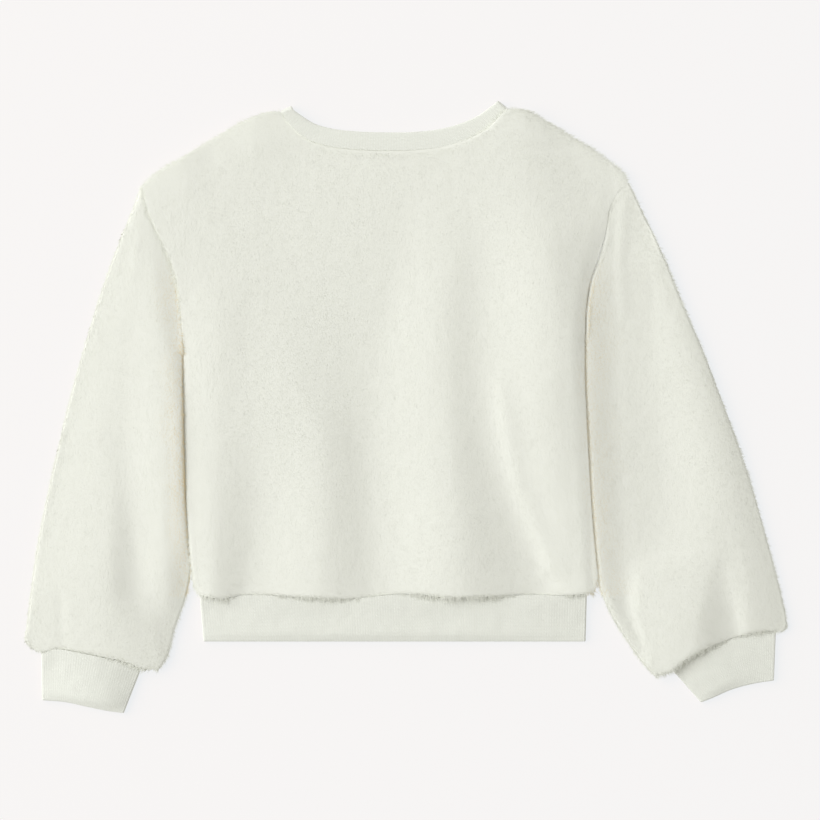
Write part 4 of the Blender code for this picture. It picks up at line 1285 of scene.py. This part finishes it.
right_cuff_rib, right_cuff_size = rib_tube(
    "right_cuff_rib", RIGHT_SLEEVE_END[::-1], RIGHT_CUFF_SPAN, RIGHT_CUFF_FREE[::-1], 531,
    RIGHT_CUFF_AT_SEAM, RIGHT_CUFF_PUFF)

# %% [markdown]
# ## The neckband
# The neckband is a ring of folded rib. It lies along the back of the neck, folds over at the
# two neck points and runs under the back panel along the front. At each place along the ring it
# has the same section: a flat loop with a round fold at the free edge.

# %% Places round the ring
NECKBAND_WALL = 3.2
NECKBAND_WIDTH = 15.9
NECKBAND_PINCH = 7.0            # it is this much narrower at the neck points
SEAM_GAP = 0.3
FOLD_RADIUS = BACK_LEVEL / 2.0
FOLD_STEPS = 16
NECK_LENGTH = 235.0
NECK_PLACES = 500               # along each half of the ring


def neck_places(front):
    """Seam point, direction into the neck, width, height and lean at places along one side."""
    inset = (FOLD_RADIUS + NECKBAND_WALL / 2.0) / NECK_LENGTH
    where = np.linspace(inset, 1.0 - inset, NECK_PLACES)
    line = neck_line(where, front)
    side = to_the_left(line)
    width = NECKBAND_WIDTH - NECKBAND_PINCH * (2.0 * where - 1.0) ** 6
    height = NECKBAND_WALL / 2.0 + (0.0 if front else 2.0 * FOLD_RADIUS)
    lean = np.array((0.0, 0.0, -1.0 if front else 1.0))
    return [(point, into, reach, height, lean) for point, into, reach in zip(line, side, width)]


def neck_fold(place, outward):
    """Places round the half circle at a neck point, from the top down."""
    point, side, reach, height, _ = place
    away = outward * np.array((side[1], -side[0]))
    places = []
    for step in range(1, FOLD_STEPS):
        angle = np.pi * step / FOLD_STEPS
        lean = np.append(away * np.sin(angle), np.cos(angle))
        lower = height - FOLD_RADIUS * (1.0 - np.cos(angle))
        places.append((point + away * FOLD_RADIUS * np.sin(angle), side, reach, lower, lean))
    return places


# %% Section of the band
SECTION_STEPS = np.array((0.0, 0.08, 0.3, 0.55, 0.8, 1.0))
RELIEF_ROOM = 0.3               # the band is this much thinner, to leave room for its ribs


def band_section(reach, bulge):
    """Points round the band: out along its face, round its fold and back. Each one is a
    distance from the seam, a height, and how much of the rib relief it takes."""
    half = NECKBAND_WALL / 2.0 - RELIEF_ROOM
    flat = reach - half
    thickness = half * (0.8 + 0.2 * np.minimum(1.0, 4.0 * SECTION_STEPS))
    face = [(t * flat, up + bulge * (1.0 - t), 1.0) for t, up in zip(SECTION_STEPS, thickness)]
    fold = [(flat + half * np.sin(a), half * np.cos(a), 1.0) for a in np.pi * np.arange(1, 5) / 5]
    back = [(t * flat, -up, 0.6) for t, up in zip(SECTION_STEPS, thickness)]
    return face + fold + back[::-1]


# %% Ribs round the ring
back_places, front_places = neck_places(False), neck_places(True)
ring = (back_places + neck_fold(back_places[-1], 1.0) + front_places[::-1]
        + neck_fold(back_places[0], -1.0)[::-1])
ring.append(ring[0])
middles = np.array([np.append(point + into * reach / 2.0, height)
                    for point, into, reach, height, _ in ring])
marks = np.concatenate(([0.0], np.cumsum(np.linalg.norm(np.diff(middles, axis=0), axis=1))))
neck_ribs = int(round(marks[-1] / RIB_PITCH))
FEWER_PHASES = RIB_PHASES[[0, 1, 2, 4, 5]]  # the crest of each rib is left out here
neck_turns = (np.arange(neck_ribs)[:, None] + FEWER_PHASES).ravel()
print(f"neckband: {neck_ribs} ribs, {marks[-1]:.0f} mm round")


# %% The neckband itself
def ring_section(point, into, reach, height, lean):
    """Points of the section at one place. Each one is followed by the way its rib stands out,
    its distance from the seam, its share of the relief, and its side of the band."""
    seam_point, inner = np.append(point + into * SEAM_GAP, height), np.append(into, 0.0)
    return [np.concatenate((seam_point + inner * out + lean * up, lean, (out, relief, up)))
            for out, up, relief in band_section(reach, max(lean[2], 0.0))]


sections = np.array([ring_section(*place) for place in ring])
wanted = neck_turns / neck_ribs * marks[-1]
sampled = np.column_stack([np.interp(wanted, marks, column)
                           for column in sections.reshape(len(marks), -1).T])
sampled = sampled.reshape(-1, *sections.shape[1:])
spots, lean, out, relief, side = np.split(sampled, (3, 6, 7, 8), axis=-1)
raised = 0.5 * rib_height(neck_turns)[:, None, None] * relief
neck_points = spots + unit(lean) * np.sign(side + 1e-6) * raised
neck_points[..., 2] = np.maximum(neck_points[..., 2], LOWEST)
rows, size = neck_points.shape[:2]
neckband_rib = add_object("neckband_rib", neck_points.transpose(1, 0, 2).reshape(-1, 3),
                          grid_faces(size, rows, closed=True, ring=True), rib_material)
add_knit_map(neckband_rib, np.tile(neck_turns, size), out[..., 0].T.ravel())

# %% [markdown]
# ## Handing the pieces to the frame
# Every piece rides on the one body of the model and stands for its solid, which is hidden. The pile
# that grows on each cloth rides on the same body.

# %% Pieces and the solids that they stand for
# cloth, solid, slot, flat size in metres, area in square metres, what it lies on, and its pile
pieces = (
    (back_cloth, "back_panel", "fleece", (0.430, 0.433), 0.152, "front_cloth", [back_pile]),
    (front_cloth, "front_panel", "fleece", (0.430, 0.433), 0.146, "floor", [front_pile]),
    (left_sleeve_cloth, "left_sleeve", "fleece", (0.282, 0.427), 0.0953, "floor",
     [left_sleeve_pile]),
    (right_sleeve_cloth, "right_sleeve", "fleece", (0.354, 0.434), 0.107, "floor",
     [right_sleeve_pile]),
    (neckband_rib, "neckband", "rib", (0.510, 0.0155), None, "floor", []),
    (hem_band_rib, "hem_band", "rib", hem_size, None, "floor", []),
    (left_cuff_rib, "left_cuff", "rib", left_cuff_size, None, "floor", []),
    (right_cuff_rib, "right_cuff", "rib", right_cuff_size, None, "floor", []),
)
for cloth, node, slot, flat, area, below, piles in pieces:
    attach(cloth, "root")
    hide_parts(node)
    for pile in piles:
        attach(pile, "root")

# %% [markdown]
# ## Last step
# The cloth has to fill the same box as the solids. The script ends by bringing the scene up to
# date.

# %% Bring the scene up to date
bpy.context.view_layer.update()
